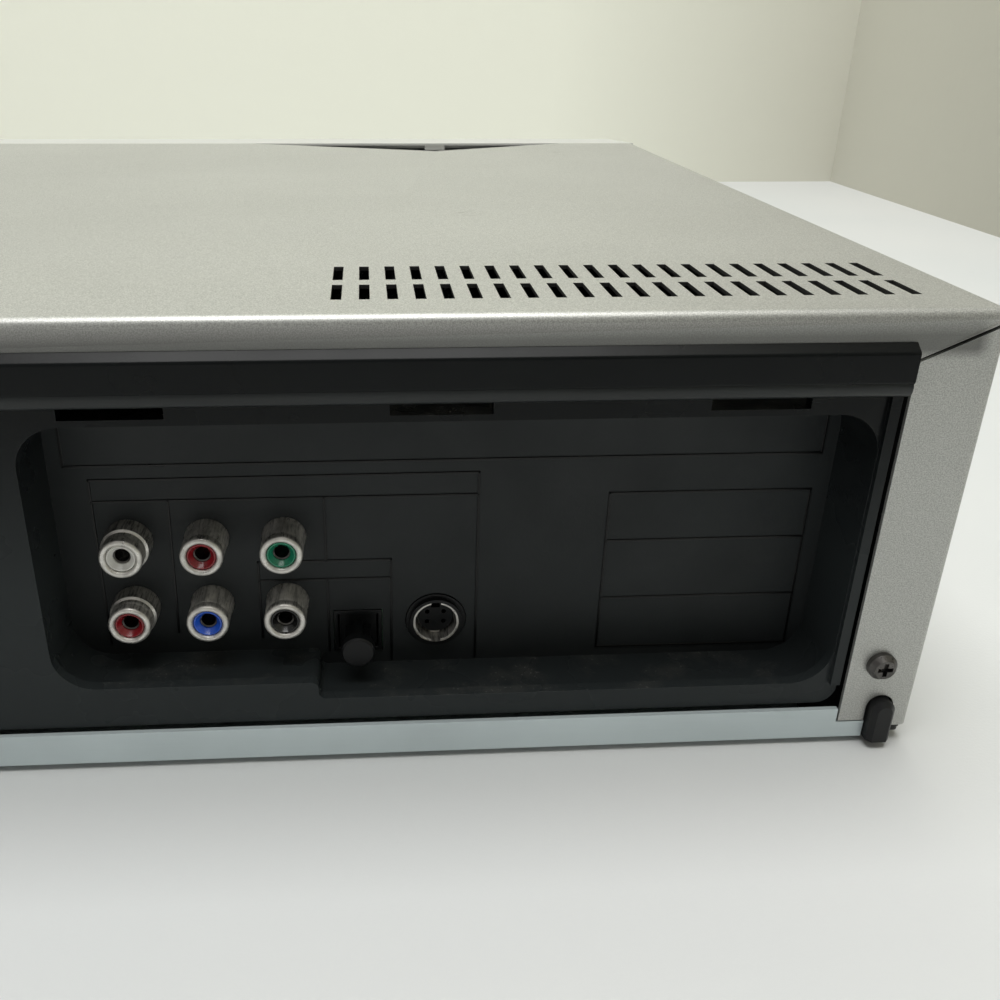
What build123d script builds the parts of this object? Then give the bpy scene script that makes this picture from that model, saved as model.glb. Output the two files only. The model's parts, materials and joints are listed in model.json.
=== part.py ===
from build123d import *
import math
import os

# Disc and cassette combination player, in millimetres.
# The front faces -Y, the rear sockets face +Y, Z is up and the feet stand on Z = 0.
# The origin is the middle of the footprint, on the floor.

# ---------------------------------------------------------------- overall sizes
WIDTH = 430.0  # across the top cover
HEIGHT = 92.3  # floor to the top of the cover
COVER_DEPTH = 242.6  # rear flange to the front edge of the cover
FASCIA_DEPTH = 18.0  # front panel, back rim to front face
KEY_PROUD = 0.8  # keys stand out of the front face
HOOK_PROUD = 2.4  # rail hooks stand out of the rear flange
FOOT_HEIGHT = 1.5
FOOT_RADIUS = 11.0
FOOT_FROM_SIDE = 35.0
FOOT_FROM_FRONT = 20.0
FOOT_FROM_REAR = 26.0

# ---------------------------------------------------------------- clearances
SLIP = 0.3  # between neighbours that only lie close
SPIN = 0.05  # radial, shaft in bore

# ---------------------------------------------------------------- top cover
COVER_SHEET = 0.8
COVER_BEND = 1.8  # outside radius of the folds
COVER_BOTTOM = 4.0  # lower edge of the sides
SIDE_FLANGE = 15.0  # rear flange turned in from each side
TOP_FLANGE = 9.3  # rear flange turned down from the top
MITRE_DROP = 2.1  # mitre meets the outer corner this far under the top
MITRE_GAP = 0.7
VENT_COUNT = 22
VENT_PITCH = 4.92
VENT_WIDTH = 1.86
VENT_FROM_SIDE = 10.7  # last slot to the side of the cover
VENT_ROWS = ((10.0, 20.0), (23.5, 33.9))  # near and far end, from the rear flange
SAG_DROP = 2.9  # the front edge has sunk this far
SAG_REACH = 30.0
SAG_SPAN = (30.0, 81.0, 155.0)  # near end, lowest point, far end, from the side

# ---------------------------------------------------------------- screws
SCREW_RADIUS = 1.5
SCREW_HOLE = 1.7
SCREW_HEAD_RADIUS = 2.9
SCREW_HEAD_HEIGHT = 2.0
SCREW_LENGTH = 6.0
CROSS_RECESS = (3.0, 0.9)
REAR_SCREW = (8.8, 19.4)  # from the side, above the floor
SIDE_SCREW_DEPTHS = (45.0, 200.0)  # from the rear flange
SIDE_SCREW_Z = 20.0

# ---------------------------------------------------------------- bottom plate and rails
PLATE_SHEET = 1.0
PLATE_INSET = 9.5  # plate edge to the outside of the cover
STRIP_TOP = 8.5  # rear lip of the plate, above the floor
STRIP_STEP_TOP = 5.3  # the lip is lower under the side flanges
FRONT_LIP = 8.0
BOARD_Z = 8.0
BOARD_SHEET = 1.6
BOSS_RADIUS = 3.5
CAPACITORS = ((-40, -35, 9.0, 26.0), (-40, -10, 6.5, 20.0), (40, 45, 5.0, 16.0))
CORE_SIZE = (32.0, 26.0, 24.0)
CORE_WINDOW = (14.0, 12.0)
SINK_SIZE = (48.0, 12.0, 28.0)
SINK_FINS = 8
SINK_SHEET = 2.0
FIN_SHEET = 1.6
RAIL_BOTTOM = 1.7
RAIL_FOOT = 2.0
RAIL_WEB = 2.0
RAIL_HEIGHT = 40.0
RAIL_LEDGE = 10.2
RAIL_EAR = 4.0
RIB_PITCH = 34.0
HOOK_WIDTH = 4.8
HOOK_TOP = 11.3
HOOK_FROM_SIDE = 6.9
HOOK_CLEARANCE = 0.4

# ---------------------------------------------------------------- rear panel
PANEL_SET_BACK = 1.7
PANEL_WALL = 2.2
PANEL_SIDE_GAP = 0.8
PANEL_BOTTOM = 9.0
PANEL_CORNER = 4.0
BORDER_RIB = 1.9
BORDER_PROUD = 1.0
HOOD_PROUD = 2.0
HOOD_BOTTOM = 13.8  # under the top of the cover
HOOD_LIP_TOP = 7.0
HOOD_ROOT_TOP = 9.6
HOOD_NOSE = 1.4
BAY_DEPTH = 13.94
BAY_WALL = 1.2
BAY_TOP = 19.6  # under the top of the cover
BAY_RIM_Z = 14.0
BAY_FLOOR_DROP = 2.1  # floor behind the rim
BAY_CORNER = 8.0
BAY_SIDE = 17.85  # bay edge to the outside of the cover
BAY_WIDTH = 152.6
BAY_STEP_RISE = 3.9
BAY_STEP_WIDTH = 50.2
SHARED_BAY = (65.0, 120.0)  # from the other side of the cover, and width
SLOT_COUNT = 7
SLOT_PITCH = 56.4
SLOT_WIDTH = 18.0
SLOT_HEIGHT = 4.5
SLOT_FROM_SIDE = 40.6  # middle of the first slot

# ---------------------------------------------------------------- sockets
RCA_RADIUS = 4.15
RCA_BORE = 2.85
RCA_PROUD = 7.5
RCA_LIP = 0.6
RCA_ROOT = 4.35  # seat of the ring in the panel's hole
RCA_FIT = 0.1  # radial, ring in its hole
RCA_STEP = 0.2
RCA_PIN_HOLE = 1.7
RCA_PIN_DEPTH = 6.5
RCA_COLLAR_STEP = 0.65  # collar stands out of the root by this
RCA_COLLAR = 1.2
RCA_PITCH = 15.1
RCA_FROM_SIDE = 156.93  # first column, from the side of the cover
RCA_ROWS = (42.6, 27.5, 57.7)
SHARED_FROM_SIDE = 110.0  # first column, from the other side
BLOCK_HALF = 6.6
BLOCK_DEPTH = 11.8
SVIDEO_FROM_SIDE = 96.4
SVIDEO_Z = 22.2
SVIDEO_BODY = 6.2
SVIDEO_COLLAR = 5.4
SVIDEO_SHELL = 4.7
SVIDEO_PLUG = 3.6
SVIDEO_DEPTH = 5.0
SVIDEO_PINS = ((-1.7, -1.2), (1.7, -1.2), (-1.7, 1.2), (1.7, 1.2))
SVIDEO_PIN = 0.5
SVIDEO_RING_WALL = 0.4
OPTICAL_FROM_SIDE = 112.5
OPTICAL_Z = 20.05
OPTICAL_SIZE = 9.9
OPTICAL_CAVITY = 8.2
CAP_KNOB = 3.4
CAP_REACH = 8.0
CAP_DISC = 2.0  # thickness of the knob
CAP_WEB = (2.6, 0.9)  # half sizes of the cross between knob and plug
ANTENNA_FROM_SIDE = 130.0  # from the other side
ANTENNA_ROWS = (55.0, 31.0)
ANTENNA_RADIUS = 4.75
ANTENNA_PROUD = 10.0
ANTENNA_CORE = 2.6
ANTENNA_PIN_HOLE = 0.6
ANTENNA_WALL = 1.05
NUT_PROUD = 1.65  # nut corners beyond the barrel
NUT_HEIGHT = 2.2
INLET_FROM_SIDE = 36.0
INLET_Z = 30.0
INLET_SIZE = (20.0, 10.0)
INLET_CAVITY = (17.0, 7.4)
INLET_DEPTH = 12.0
INLET_PIN = 1.2
INLET_PIN_PITCH = 8.6
INLET_PROUD = 1.5  # rim on the panel
INLET_RIM = 4.0  # rim is wider than the body by this
INLET_BACK = 2.0

# ---------------------------------------------------------------- disc loader
LOADER_FROM_SIDE = 101.0  # middle of the loader, from the side of the cover
TRAY_WIDTH = 130.0
TRAY_LENGTH = 166.0
TRAY_SHEET = 6.0
TRAY_Z = 60.0
DISC_RADIUS = 60.5
SMALL_DISC_RADIUS = 40.5
DISC_HOLE_RADIUS = 7.5
DISC_RECESS = 3.5
SMALL_RECESS = 1.0
DISC_FROM_FRONT = 72.6
HUB_SLOT = 18.0
TRAY_FRONT = (144.0, 16.0, 3.5)
TRAY_FRONT_Z = 64.0
FRAME_WALL = 3.0
FRAME_FLOOR_Z = 47.0
FRAME_FLOOR = 2.0
FRAME_TOP = 73.0
FRAME_BACK = 60.0
LEDGE_WIDTH = 2.9
LEG_RADIUS = 4.0
TOOTH_MODULE = 1.0
TRAY_GEAR_TEETH = 24
SLED_GEAR_TEETH = 12
TRAY_GEAR_FROM_FRONT = 33.1
TRAVERSE_WIDTH = 94.0
TRAVERSE_SHEET = 1.2
TRAVERSE_Z = 51.0
TRAVERSE_PIN = 1.5
ROD_RADIUS = 1.5
ROD_GAUGE = 24.0
TURNTABLE_RADIUS = 15.0
CLAMPER_RADIUS = 13.5
MOTOR_RADIUS = 12.0

# ---------------------------------------------------------------- cassette deck
DECK_FROM_SIDE = 112.0  # middle of the deck, from the other side of the cover
CASSETTE = (188.0, 25.0)  # width and thickness
CASSETTE_Z = 51.0
BASKET_SHEET = 1.2
BASKET_DEPTH = 50.0
BASKET_WALL = 2.4
DECK_Z = 26.0
DECK_SHEET = 1.5
DECK_FRONT = -92.0
DECK_BACK = 90.0
PLATE_WALL = 1.5
SLIDER_WALL = 1.6
DRUM_RADIUS = 31.0
DRUM_Y = 57.0
DRUM_TILT = 5.0
REEL_SPACING = 92.4
REEL_Y = -32.0
REEL_RADIUS = 16.0
CAPSTAN = (45.0, 26.0)
CAPSTAN_RADIUS = 1.5
FLYWHEEL_RADIUS = 20.0
PINCH_PIVOT = (70.5, 29.8)
PINCH_ARM = 17.0
PINCH_REST = 150.0
PINCH_ROLLER = 7.0

# ---------------------------------------------------------------- front panel
FASCIA_WALL = 2.2
FASCIA_BOTTOM = 2.2
FASCIA_TAPER = 7.5
FASCIA_ROUND = 1.5
FLAP_SIZE = (196.0, 36.0, 2.4)
FLAP_BOTTOM = 48.5
FLAP_AXIS_DROP = 2.0
FLAP_PIN = 1.2
KEY_ROW_Z = 26.0
KEY_GAP = 0.4
KEY_TRAVEL = 0.8
WINDOW = (115.2, 25.2, 1.2)
WINDOW_LEDGE = 3.0
JACK_DOOR = (49.4, 23.4, 2.0)
JACK_DOOR_FROM_SIDE = 38.0
FRONT_BAY_DEPTH = 14.1
DOOR_PIN = 0.6
BOARD_SET_BACK = 11.1  # front face to the display board

# ---------------------------------------------------------------- derived places
HALF = WIDTH / 2
Y_REAR = (COVER_DEPTH + FASCIA_DEPTH + KEY_PROUD + HOOK_PROUD) / 2 - HOOK_PROUD
Y_COVER_FRONT = Y_REAR - COVER_DEPTH
Y_FACE = Y_COVER_FRONT - FASCIA_DEPTH
Y_PANEL = Y_REAR - PANEL_SET_BACK
Y_JACKS = Y_PANEL - BAY_DEPTH
Y_BLOCKS = Y_JACKS - BAY_WALL - SLIP
PLATE_TOP = FOOT_HEIGHT + PLATE_SHEET
BOARD_TOP = BOARD_Z + BOARD_SHEET
LOADER_X = -HALF + LOADER_FROM_SIDE
DECK_X = HALF - DECK_FROM_SIDE
RCA_X = -HALF + RCA_FROM_SIDE
SHARED_X = HALF - SHARED_FROM_SIDE
SVIDEO_X = -HALF + SVIDEO_FROM_SIDE
OPTICAL_X = -HALF + OPTICAL_FROM_SIDE
ANTENNA_X = HALF - ANTENNA_FROM_SIDE
RCA_HOLE = RCA_ROOT + RCA_FIT
RCA_COLLAR_RADIUS = RCA_ROOT + RCA_COLLAR_STEP
HUB_Y = Y_FACE + TRAY_FRONT[2] + DISC_FROM_FRONT
JACK_DOOR_X = HALF - JACK_DOOR_FROM_SIDE
BASKET_FRONT = DECK_FRONT + 2.0
DECK_TOP = DECK_Z + DECK_SHEET
SLIDER_IN = CASSETTE[0] / 2 + SLIP + BASKET_WALL + SLIP
PLATES_IN = SLIDER_IN + SLIDER_WALL + SLIP
DECK_HALF = PLATES_IN + PLATE_WALL
FLAP_TOP = FLAP_BOTTOM + FLAP_SIZE[1]
FLAP_AXIS = (Y_FACE + FLAP_SIZE[2] + 1.1, FLAP_TOP - FLAP_AXIS_DROP)
DOOR_BOTTOM = KEY_ROW_Z - JACK_DOOR[1] / 2
DOOR_AXIS = (Y_FACE + JACK_DOOR[2] / 2, DOOR_BOTTOM + JACK_DOOR[2] / 2)
Y_BOARD = Y_FACE + BOARD_SET_BACK
FRONT_BAY_BACK = Y_FACE + FRONT_BAY_DEPTH

# name: (x from the middle, z, width, height)
KEYS = {
    "open_close_button": (LOADER_X + TRAY_FRONT[0] / 2 + 20.0, TRAY_FRONT_Z, 16.0, 7.0),
    "dvd_play_button": (-HALF + 65.0, KEY_ROW_Z, 18.0, 9.0),
    "dvd_stop_button": (-HALF + 87.0, KEY_ROW_Z, 18.0, 9.0),
    "vcr_stop_eject_button": (76.0, KEY_ROW_Z, 16.0, 9.0),
    "vcr_play_button": (94.5, KEY_ROW_Z, 16.0, 9.0),
    "vcr_rewind_button": (113.0, KEY_ROW_Z, 16.0, 9.0),
    "vcr_forward_button": (131.5, KEY_ROW_Z, 16.0, 9.0),
}
POWER_KEY = (-HALF + 27.0, KEY_ROW_Z, 7.0)
ROCKER = (-HALF + 119.0, KEY_ROW_Z, 34.0, 9.0)


# ---------------------------------------------------------------- small helpers
def block(x0, x1, y0, y1, z0, z1):
    return Pos((x0 + x1) / 2, (y0 + y1) / 2, (z0 + z1) / 2) * Box(abs(x1 - x0), abs(y1 - y0), abs(z1 - z0))


def post(x, y, z0, z1, radius):
    return Pos(x, y, (z0 + z1) / 2) * Cylinder(radius, z1 - z0)


def along_y(x, z, y0, y1, radius):
    return Pos(x, (y0 + y1) / 2, z) * Rot(90, 0, 0) * Cylinder(radius, abs(y1 - y0))


def along_x(y, z, x0, x1, radius):
    return Pos((x0 + x1) / 2, y, z) * Rot(0, 90, 0) * Cylinder(radius, abs(x1 - x0))


def outline_in_y(points, y0, y1):
    """A closed outline of (x, z) points as a slab from y0 to y1."""
    face = Plane.XZ * make_face(Polyline(*points, close=True))
    return Pos(0, y1, 0) * extrude(face, amount=y1 - y0)


def both_sides(piece):
    return [piece, mirror(piece, about=Plane.YZ)]


def group(pieces):
    return Compound([solid for piece in pieces for solid in piece.solids()])


def turned(profile):
    """Full turn about Z of a closed outline of (radius, height) points."""
    return revolve(Plane.XZ * make_face(Polyline(*profile, close=True)), Axis.Z)


def turned_y(profile):
    """The same about Y, with the heights along Y."""
    return Rot(-90, 0, 0) * turned(profile)


def toothed_wheel(teeth, z0, z1, bore, first_angle):
    """Spur wheel with straight-sided teeth, thinned so that it runs free in its rack."""
    pitch_radius = TOOTH_MODULE * teeth / 2
    tip = pitch_radius + 0.9 * TOOTH_MODULE
    root = pitch_radius - 1.15 * TOOTH_MODULE
    points = []
    for tooth in range(teeth):
        middle = math.radians(first_angle) + tooth * 2 * math.pi / teeth
        half = math.pi / teeth
        for radius, share in ((root, -0.56), (tip, -0.22), (tip, 0.22), (root, 0.56)):
            angle = middle + share * half
            points.append((radius * math.cos(angle), radius * math.sin(angle)))
    wheel = extrude(make_face(Polyline(*points, close=True)), amount=z1 - z0)
    return Pos(0, 0, z0) * wheel - post(0, 0, z0 - 1, z1 + 1, bore)


def rack(x_back, x_pitch, y_gap, y0, y1, z0, z1):
    """Straight rack whose teeth point to +X, with a gap between teeth centred on y_gap."""
    pitch = math.pi * TOOTH_MODULE
    root = x_pitch - 1.15 * TOOTH_MODULE
    tip = x_pitch + 0.9 * TOOTH_MODULE
    points = [(x_back, y0), (root, y0)]
    first = math.ceil((y0 + 1 - y_gap) / pitch - 0.5)
    last = math.floor((y1 - 1 - y_gap) / pitch - 0.5)
    for step in range(first, last + 1):
        middle = y_gap + (step + 0.5) * pitch
        points += [(root, middle - 0.29 * pitch), (tip, middle - 0.11 * pitch)]
        points += [(tip, middle + 0.11 * pitch), (root, middle + 0.29 * pitch)]
    points += [(root, y1), (x_back, y1)]
    return Pos(0, 0, z0) * extrude(make_face(Polyline(*points, close=True)), amount=z1 - z0)


# ---------------------------------------------------------------- casing
def folded_box(inset, radius):
    """The cover's block form, shrunk by the sheet, with its folds rounded."""
    x = HALF - inset
    front = Y_COVER_FRONT - (1 if inset else 0)
    bottom = COVER_BOTTOM - (1 if inset else 0)
    form = block(-x, x, front, Y_REAR - inset, bottom, HEIGHT - inset)
    top = form.edges().group_by(Axis.Z)[-1].filter_by(lambda edge: edge.center().Y > front + 1)
    rear = form.edges().filter_by(Axis.Z).group_by(Axis.Y)[-1]
    return fillet(top + rear, radius)


def front_sag():
    """Cut and refill for the triangular dip in the front edge of the cover's top."""
    near, low, far = (-HALF + distance for distance in SAG_SPAN)
    top = HEIGHT
    back = Y_COVER_FRONT + SAG_REACH
    corners = (Vector(near, Y_COVER_FRONT, top), Vector(low, back, top), Vector(far, Y_COVER_FRONT, top))
    sunk = Vector(low, Y_COVER_FRONT, top - SAG_DROP)
    triangle = make_face(Polyline(*[(corner.X, corner.Y) for corner in corners], close=True))
    plan = Pos(0, 0, top - 1.5) * extrude(triangle, amount=3)
    facets = []
    for edge_end in (corners[0], corners[2]):
        face = make_face(Polyline(edge_end, corners[1], sunk, close=True))
        facets.append(extrude(face, amount=COVER_SHEET, dir=(0, 0, -1)))
    return plan, facets


def top_cover():
    cover = folded_box(0, COVER_BEND) - folded_box(COVER_SHEET, COVER_BEND - COVER_SHEET)
    flange_x = HALF - SIDE_FLANGE
    flange_z = HEIGHT - TOP_FLANGE
    y0, y1 = Y_REAR - COVER_SHEET - 0.2, Y_REAR + 1
    cuts = [block(-flange_x, flange_x, y0 - 1, y1, COVER_BOTTOM - 2, flange_z)]
    mitre = [
        (-flange_x + 1, flange_z - MITRE_GAP),
        (-flange_x + 1, flange_z),
        (-HALF - 1, HEIGHT - MITRE_DROP + MITRE_GAP),
        (-HALF - 1, HEIGHT - MITRE_DROP),
    ]
    step_x = -HALF + HOOK_FROM_SIDE + HOOK_WIDTH / 2
    hook_half = HOOK_WIDTH / 2 + HOOK_CLEARANCE
    hook_x = -HALF + HOOK_FROM_SIDE
    notch_arc_z = HOOK_TOP + HOOK_CLEARANCE - hook_half
    one_side = [
        outline_in_y(mitre, y0, y1),
        block(step_x, -flange_x + 1, y0, y1, COVER_BOTTOM - 1, STRIP_STEP_TOP + SLIP),
        block(hook_x - hook_half, hook_x + hook_half, y0, y1, COVER_BOTTOM - 1, notch_arc_z),
        along_y(hook_x, notch_arc_z, y0, y1, hook_half),
        along_y(-HALF + REAR_SCREW[0], REAR_SCREW[1], y0, y1, SCREW_HOLE),
    ]
    for depth in SIDE_SCREW_DEPTHS:
        one_side.append(along_x(Y_REAR - depth, SIDE_SCREW_Z, -HALF - 1, -HALF + 2, SCREW_HOLE))
    for cut in one_side:
        cuts += both_sides(cut)
    for near, far in VENT_ROWS:
        for slot in range(VENT_COUNT):
            x = -HALF + VENT_FROM_SIDE + slot * VENT_PITCH
            cuts.append(block(x, x + VENT_WIDTH, Y_REAR - far, Y_REAR - near, HEIGHT - 2, HEIGHT + 1))
    plan, facets = front_sag()
    return cover - cuts - plan + facets


def bottom_plate():
    x = HALF - PLATE_INSET
    front = Y_COVER_FRONT + 0.5
    plate = block(-x, x, front, Y_REAR, FOOT_HEIGHT, PLATE_TOP)
    plate += block(-x, x, Y_REAR - PLATE_SHEET, Y_REAR, FOOT_HEIGHT, STRIP_STEP_TOP)
    tall = HALF - SIDE_FLANGE - 0.4
    plate += block(-tall, tall, Y_REAR - PLATE_SHEET, Y_REAR, FOOT_HEIGHT, STRIP_TOP)
    plate += block(-x, x, front, front + PLATE_SHEET, FOOT_HEIGHT, FOOT_HEIGHT + FRONT_LIP)
    for corners in (jack_board_plan(), power_board_plan(), main_board_plan()):
        x0, x1, y0, y1 = corners
        for bx in (x0 + 8, x1 - 8):
            for by in (y0 + 7, y1 - 14):
                plate += post(bx, by, PLATE_TOP, BOARD_Z, BOSS_RADIUS)
    return plate


def side_rails():
    outer = -HALF + 0.6
    web = -HALF + COVER_SHEET + SLIP
    plate_edge = -HALF + PLATE_INSET - 0.7
    front, back = Y_COVER_FRONT + 0.6, Y_REAR - COVER_SHEET - SLIP
    foot = block(outer, plate_edge, front, back, RAIL_BOTTOM, RAIL_BOTTOM + RAIL_FOOT)
    foot = fillet(foot.edges().filter_by(Axis.Z).group_by(Axis.X)[0], 1.5)
    rail = foot + block(web, web + RAIL_WEB, front, back, RAIL_BOTTOM + 1, RAIL_HEIGHT)
    ledge_back = Y_REAR - PLATE_SHEET - SLIP
    rail += block(web, plate_edge + RAIL_LEDGE, front + 1.5, ledge_back, PLATE_TOP, PLATE_TOP + 2)
    rib_end = web + RAIL_WEB + 7
    for rib in range(int((back - front - 20) / RIB_PITCH) + 1):
        y = front + 10 + rib * RIB_PITCH
        rail += block(web, rib_end, y, y + 1.6, PLATE_TOP, 12)
    ear_x = -HALF + SIDE_FLANGE - 1.5
    rail += block(web, ear_x, back - RAIL_EAR, back, 12, 27)
    hook_x = -HALF + HOOK_FROM_SIDE
    half = HOOK_WIDTH / 2
    hook_end = Y_REAR + HOOK_PROUD
    hook = block(hook_x - half, hook_x + half, back - RAIL_EAR, hook_end, RAIL_BOTTOM, HOOK_TOP - half)
    hook += along_y(hook_x, HOOK_TOP - half, back - RAIL_EAR, hook_end, half)
    rail += chamfer(hook.edges().group_by(Axis.Y)[-1].sort_by(Axis.Z)[-1], 0.9)
    rail += block(hook_x - half, hook_x + half, back - RAIL_EAR, back, HOOK_TOP - half, 13)
    holes = [along_y(-HALF + REAR_SCREW[0], REAR_SCREW[1], back - 8, back + 1, SCREW_RADIUS + SPIN)]
    for depth in SIDE_SCREW_DEPTHS:
        y = Y_REAR - depth
        rail += along_x(y, SIDE_SCREW_Z, web, web + 7, 3.5)
        holes.append(along_x(y, SIDE_SCREW_Z, web - 1, web + 9, SCREW_RADIUS + SPIN))
    return group(both_sides(rail - holes))


def rubber_feet():
    feet = []
    for x in (-HALF + FOOT_FROM_SIDE, HALF - FOOT_FROM_SIDE):
        for y in (Y_COVER_FRONT + FOOT_FROM_FRONT, Y_REAR - FOOT_FROM_REAR):
            feet.append(post(x, y, 0, FOOT_HEIGHT, FOOT_RADIUS))
    return group(feet)


def pan_screw():
    """Screw along +Z from its seat at Z = 0, head above and shank below."""
    profile = [
        (0, -SCREW_LENGTH),
        (SCREW_RADIUS, -SCREW_LENGTH),
        (SCREW_RADIUS, 0),
        (SCREW_HEAD_RADIUS, 0),
        (SCREW_HEAD_RADIUS, SCREW_HEAD_HEIGHT * 0.5),
        (SCREW_HEAD_RADIUS * 0.72, SCREW_HEAD_HEIGHT),
        (0, SCREW_HEAD_HEIGHT),
    ]
    screw = turned(profile)
    for length, width in (CROSS_RECESS, CROSS_RECESS[::-1]):
        screw -= Pos(0, 0, SCREW_HEAD_HEIGHT) * Box(length, width, 2.2)
    return screw


def cover_screws():
    screws = []
    for side in (-1, 1):
        x = side * (HALF - REAR_SCREW[0])
        screws.append(Pos(x, Y_REAR, REAR_SCREW[1]) * Rot(-90, 0, 0) * pan_screw())
        for depth in SIDE_SCREW_DEPTHS:
            place = Pos(side * HALF, Y_REAR - depth, SIDE_SCREW_Z)
            screws.append(place * Rot(0, side * 90, 0) * pan_screw())
    return group(screws)


# ---------------------------------------------------------------- rear panel and sockets
def bay_outline(x0, x1, z_low, z_high, step_width, step_rise):
    """Outline of a jack bay in the XZ plane. The step is at the x1 end of the floor."""
    points = [(x0, z_low), (x1, z_low), (x1, z_high), (x0, z_high)]
    if step_width:
        step_x = x1 - step_width
        points[1:2] = [(step_x, z_low), (step_x, z_low + step_rise), (x1, z_low + step_rise)]
    face = make_face(Polyline(*points, close=True))
    outer = [v for v in face.vertices() if min(abs(v.X - x0), abs(v.X - x1)) < 0.01]
    inner = [v for v in face.vertices() if min(abs(v.X - x0), abs(v.X - x1)) >= 0.01]
    face = fillet(outer, BAY_CORNER)
    if inner:
        near = [v for v in face.vertices() if abs(v.X - (x1 - step_width)) < 0.01]
        face = fillet(near, 1.5)
    return face


def bay_tool(x0, x1, z_low, z_high, step, grow, y0, y1):
    face = bay_outline(x0, x1, z_low, z_high, *step)
    if grow:
        face = offset(face, amount=grow)
    return Pos(0, y1, 0) * extrude(Plane.XZ * face, amount=y1 - y0)


def bays():
    top = HEIGHT - BAY_TOP
    x0 = -HALF + BAY_SIDE
    shared_x1 = HALF - SHARED_BAY[0]
    return (
        (x0, x0 + BAY_WIDTH, top, (BAY_STEP_WIDTH, BAY_STEP_RISE)),
        (shared_x1 - SHARED_BAY[1], shared_x1, top, (0, 0)),
    )


def rca_places():
    """(x, z, colour, has a wide collar) of every rear cinch socket."""
    places = []
    colours = (("white", "red"), ("red", "blue"), ("green", "black"))
    for column, pair in enumerate(colours):
        for row, colour in enumerate(pair):
            places.append((RCA_X - column * RCA_PITCH, RCA_ROWS[row], colour, column == 0))
    for column in range(2):
        for colour, row in (("yellow", 2), ("white", 0), ("red", 1)):
            places.append((SHARED_X + column * RCA_PITCH, RCA_ROWS[row], colour, False))
    return places


def front_rca_places():
    """(x, colour) of the three sockets behind the small front door."""
    steps = {-1: "yellow", 0: "white", 1: "red"}
    return [(JACK_DOOR_X + step * RCA_PITCH, colour) for step, colour in steps.items()]


def inlet_outline(size):
    return SlotOverall(size[0], size[1])


def rear_panel():
    x = HALF - SIDE_FLANGE - PANEL_SIDE_GAP
    y_back = Y_PANEL - PANEL_WALL
    plate = block(-x, x, y_back, Y_PANEL, PANEL_BOTTOM, HEIGHT - COVER_SHEET - 1)
    corners = plate.edges().filter_by(Axis.Y).group_by(Axis.Z)[0]
    panel = fillet(corners, PANEL_CORNER)
    hood_z = HEIGHT - HOOD_BOTTOM
    flange_z = HEIGHT - TOP_FLANGE - SLIP
    hood = [
        (Y_PANEL - 0.5, hood_z),
        (Y_REAR + HOOD_PROUD - HOOD_NOSE, hood_z),
        (Y_REAR + HOOD_PROUD, hood_z + HOOD_NOSE),
        (Y_REAR + HOOD_PROUD, HEIGHT - HOOD_LIP_TOP),
        (Y_REAR + 0.15, HEIGHT - HOOD_LIP_TOP + 1.4),
        (Y_REAR + 0.15, flange_z),
        (Y_PANEL - 0.5, flange_z),
    ]
    lip = extrude(Plane.YZ * make_face(Polyline(*hood, close=True)), amount=x - 0.2, both=True)
    panel += fillet(lip.edges().filter_by(Axis.X).group_by(Axis.Y)[-1], 0.9)
    panel += both_sides(block(-x, -x + BORDER_RIB, y_back, Y_PANEL + BORDER_PROUD, PANEL_BOTTOM + 5, hood_z))
    for x0, x1, top, step in bays():
        panel -= bay_tool(x0, x1, BAY_RIM_Z, top, step, 0, y_back - 1, Y_PANEL + 3)
    inlet_hole = inlet_outline((INLET_SIZE[0] + 0.4, INLET_SIZE[1] + 0.4))
    inlet = extrude(Plane.XZ * inlet_hole, amount=12, both=True)
    holes = [Pos(HALF - INLET_FROM_SIDE, Y_PANEL, INLET_Z) * inlet]
    slot_top = HEIGHT - HOOD_BOTTOM - 0.1
    for slot in range(SLOT_COUNT):
        px = -HALF + SLOT_FROM_SIDE + slot * SLOT_PITCH
        z0 = slot_top - SLOT_HEIGHT
        holes.append(block(px - SLOT_WIDTH / 2, px + SLOT_WIDTH / 2, y_back - 1, Y_PANEL + 0.2, z0, slot_top))
    return panel - holes


def jack_bays():
    """Tubs behind the two mouths in the rear panel and the one in the front panel."""
    y_mouth = Y_PANEL - PANEL_WALL
    y_back = Y_JACKS - BAY_WALL
    floor = BAY_RIM_Z - BAY_FLOOR_DROP
    holes = [along_y(px, pz, y_back - 1, Y_JACKS + 1, RCA_HOLE) for px, pz, _, _ in rca_places()]
    holes.append(along_y(SVIDEO_X, SVIDEO_Z, y_back - 1, Y_JACKS + 1, SVIDEO_BODY + 0.15))
    half = OPTICAL_SIZE / 2 + 0.1
    window = block(-half, half, y_back - 1, Y_JACKS + 1, -half, half)
    holes.append(Pos(OPTICAL_X, 0, OPTICAL_Z) * window)
    for z in ANTENNA_ROWS:
        holes.append(along_y(ANTENNA_X, z, y_back - 1, Y_JACKS + 1, ANTENNA_RADIUS + SLIP))
    tubs = []
    for x0, x1, top, step in bays():
        tub = bay_tool(x0, x1, floor, top, step, BAY_WALL, y_back, y_mouth)
        tubs.append(tub - bay_tool(x0, x1, floor, top, step, 0, Y_JACKS, y_mouth + 1) - holes)
    wall = Y_FACE + FASCIA_WALL
    x0, x1, z0, z1 = front_bay_box()
    t = BAY_WALL
    tub = block(x0 - t, x1 + t, wall, FRONT_BAY_BACK + t, z0 - t, z1 + t)
    tub -= block(x0, x1, wall - 1, FRONT_BAY_BACK, z0, z1)
    for x, _ in front_rca_places():
        tub -= along_y(x, KEY_ROW_Z, FRONT_BAY_BACK - 1, FRONT_BAY_BACK + 3, RCA_HOLE)
    return group([*tubs, tub])


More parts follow.
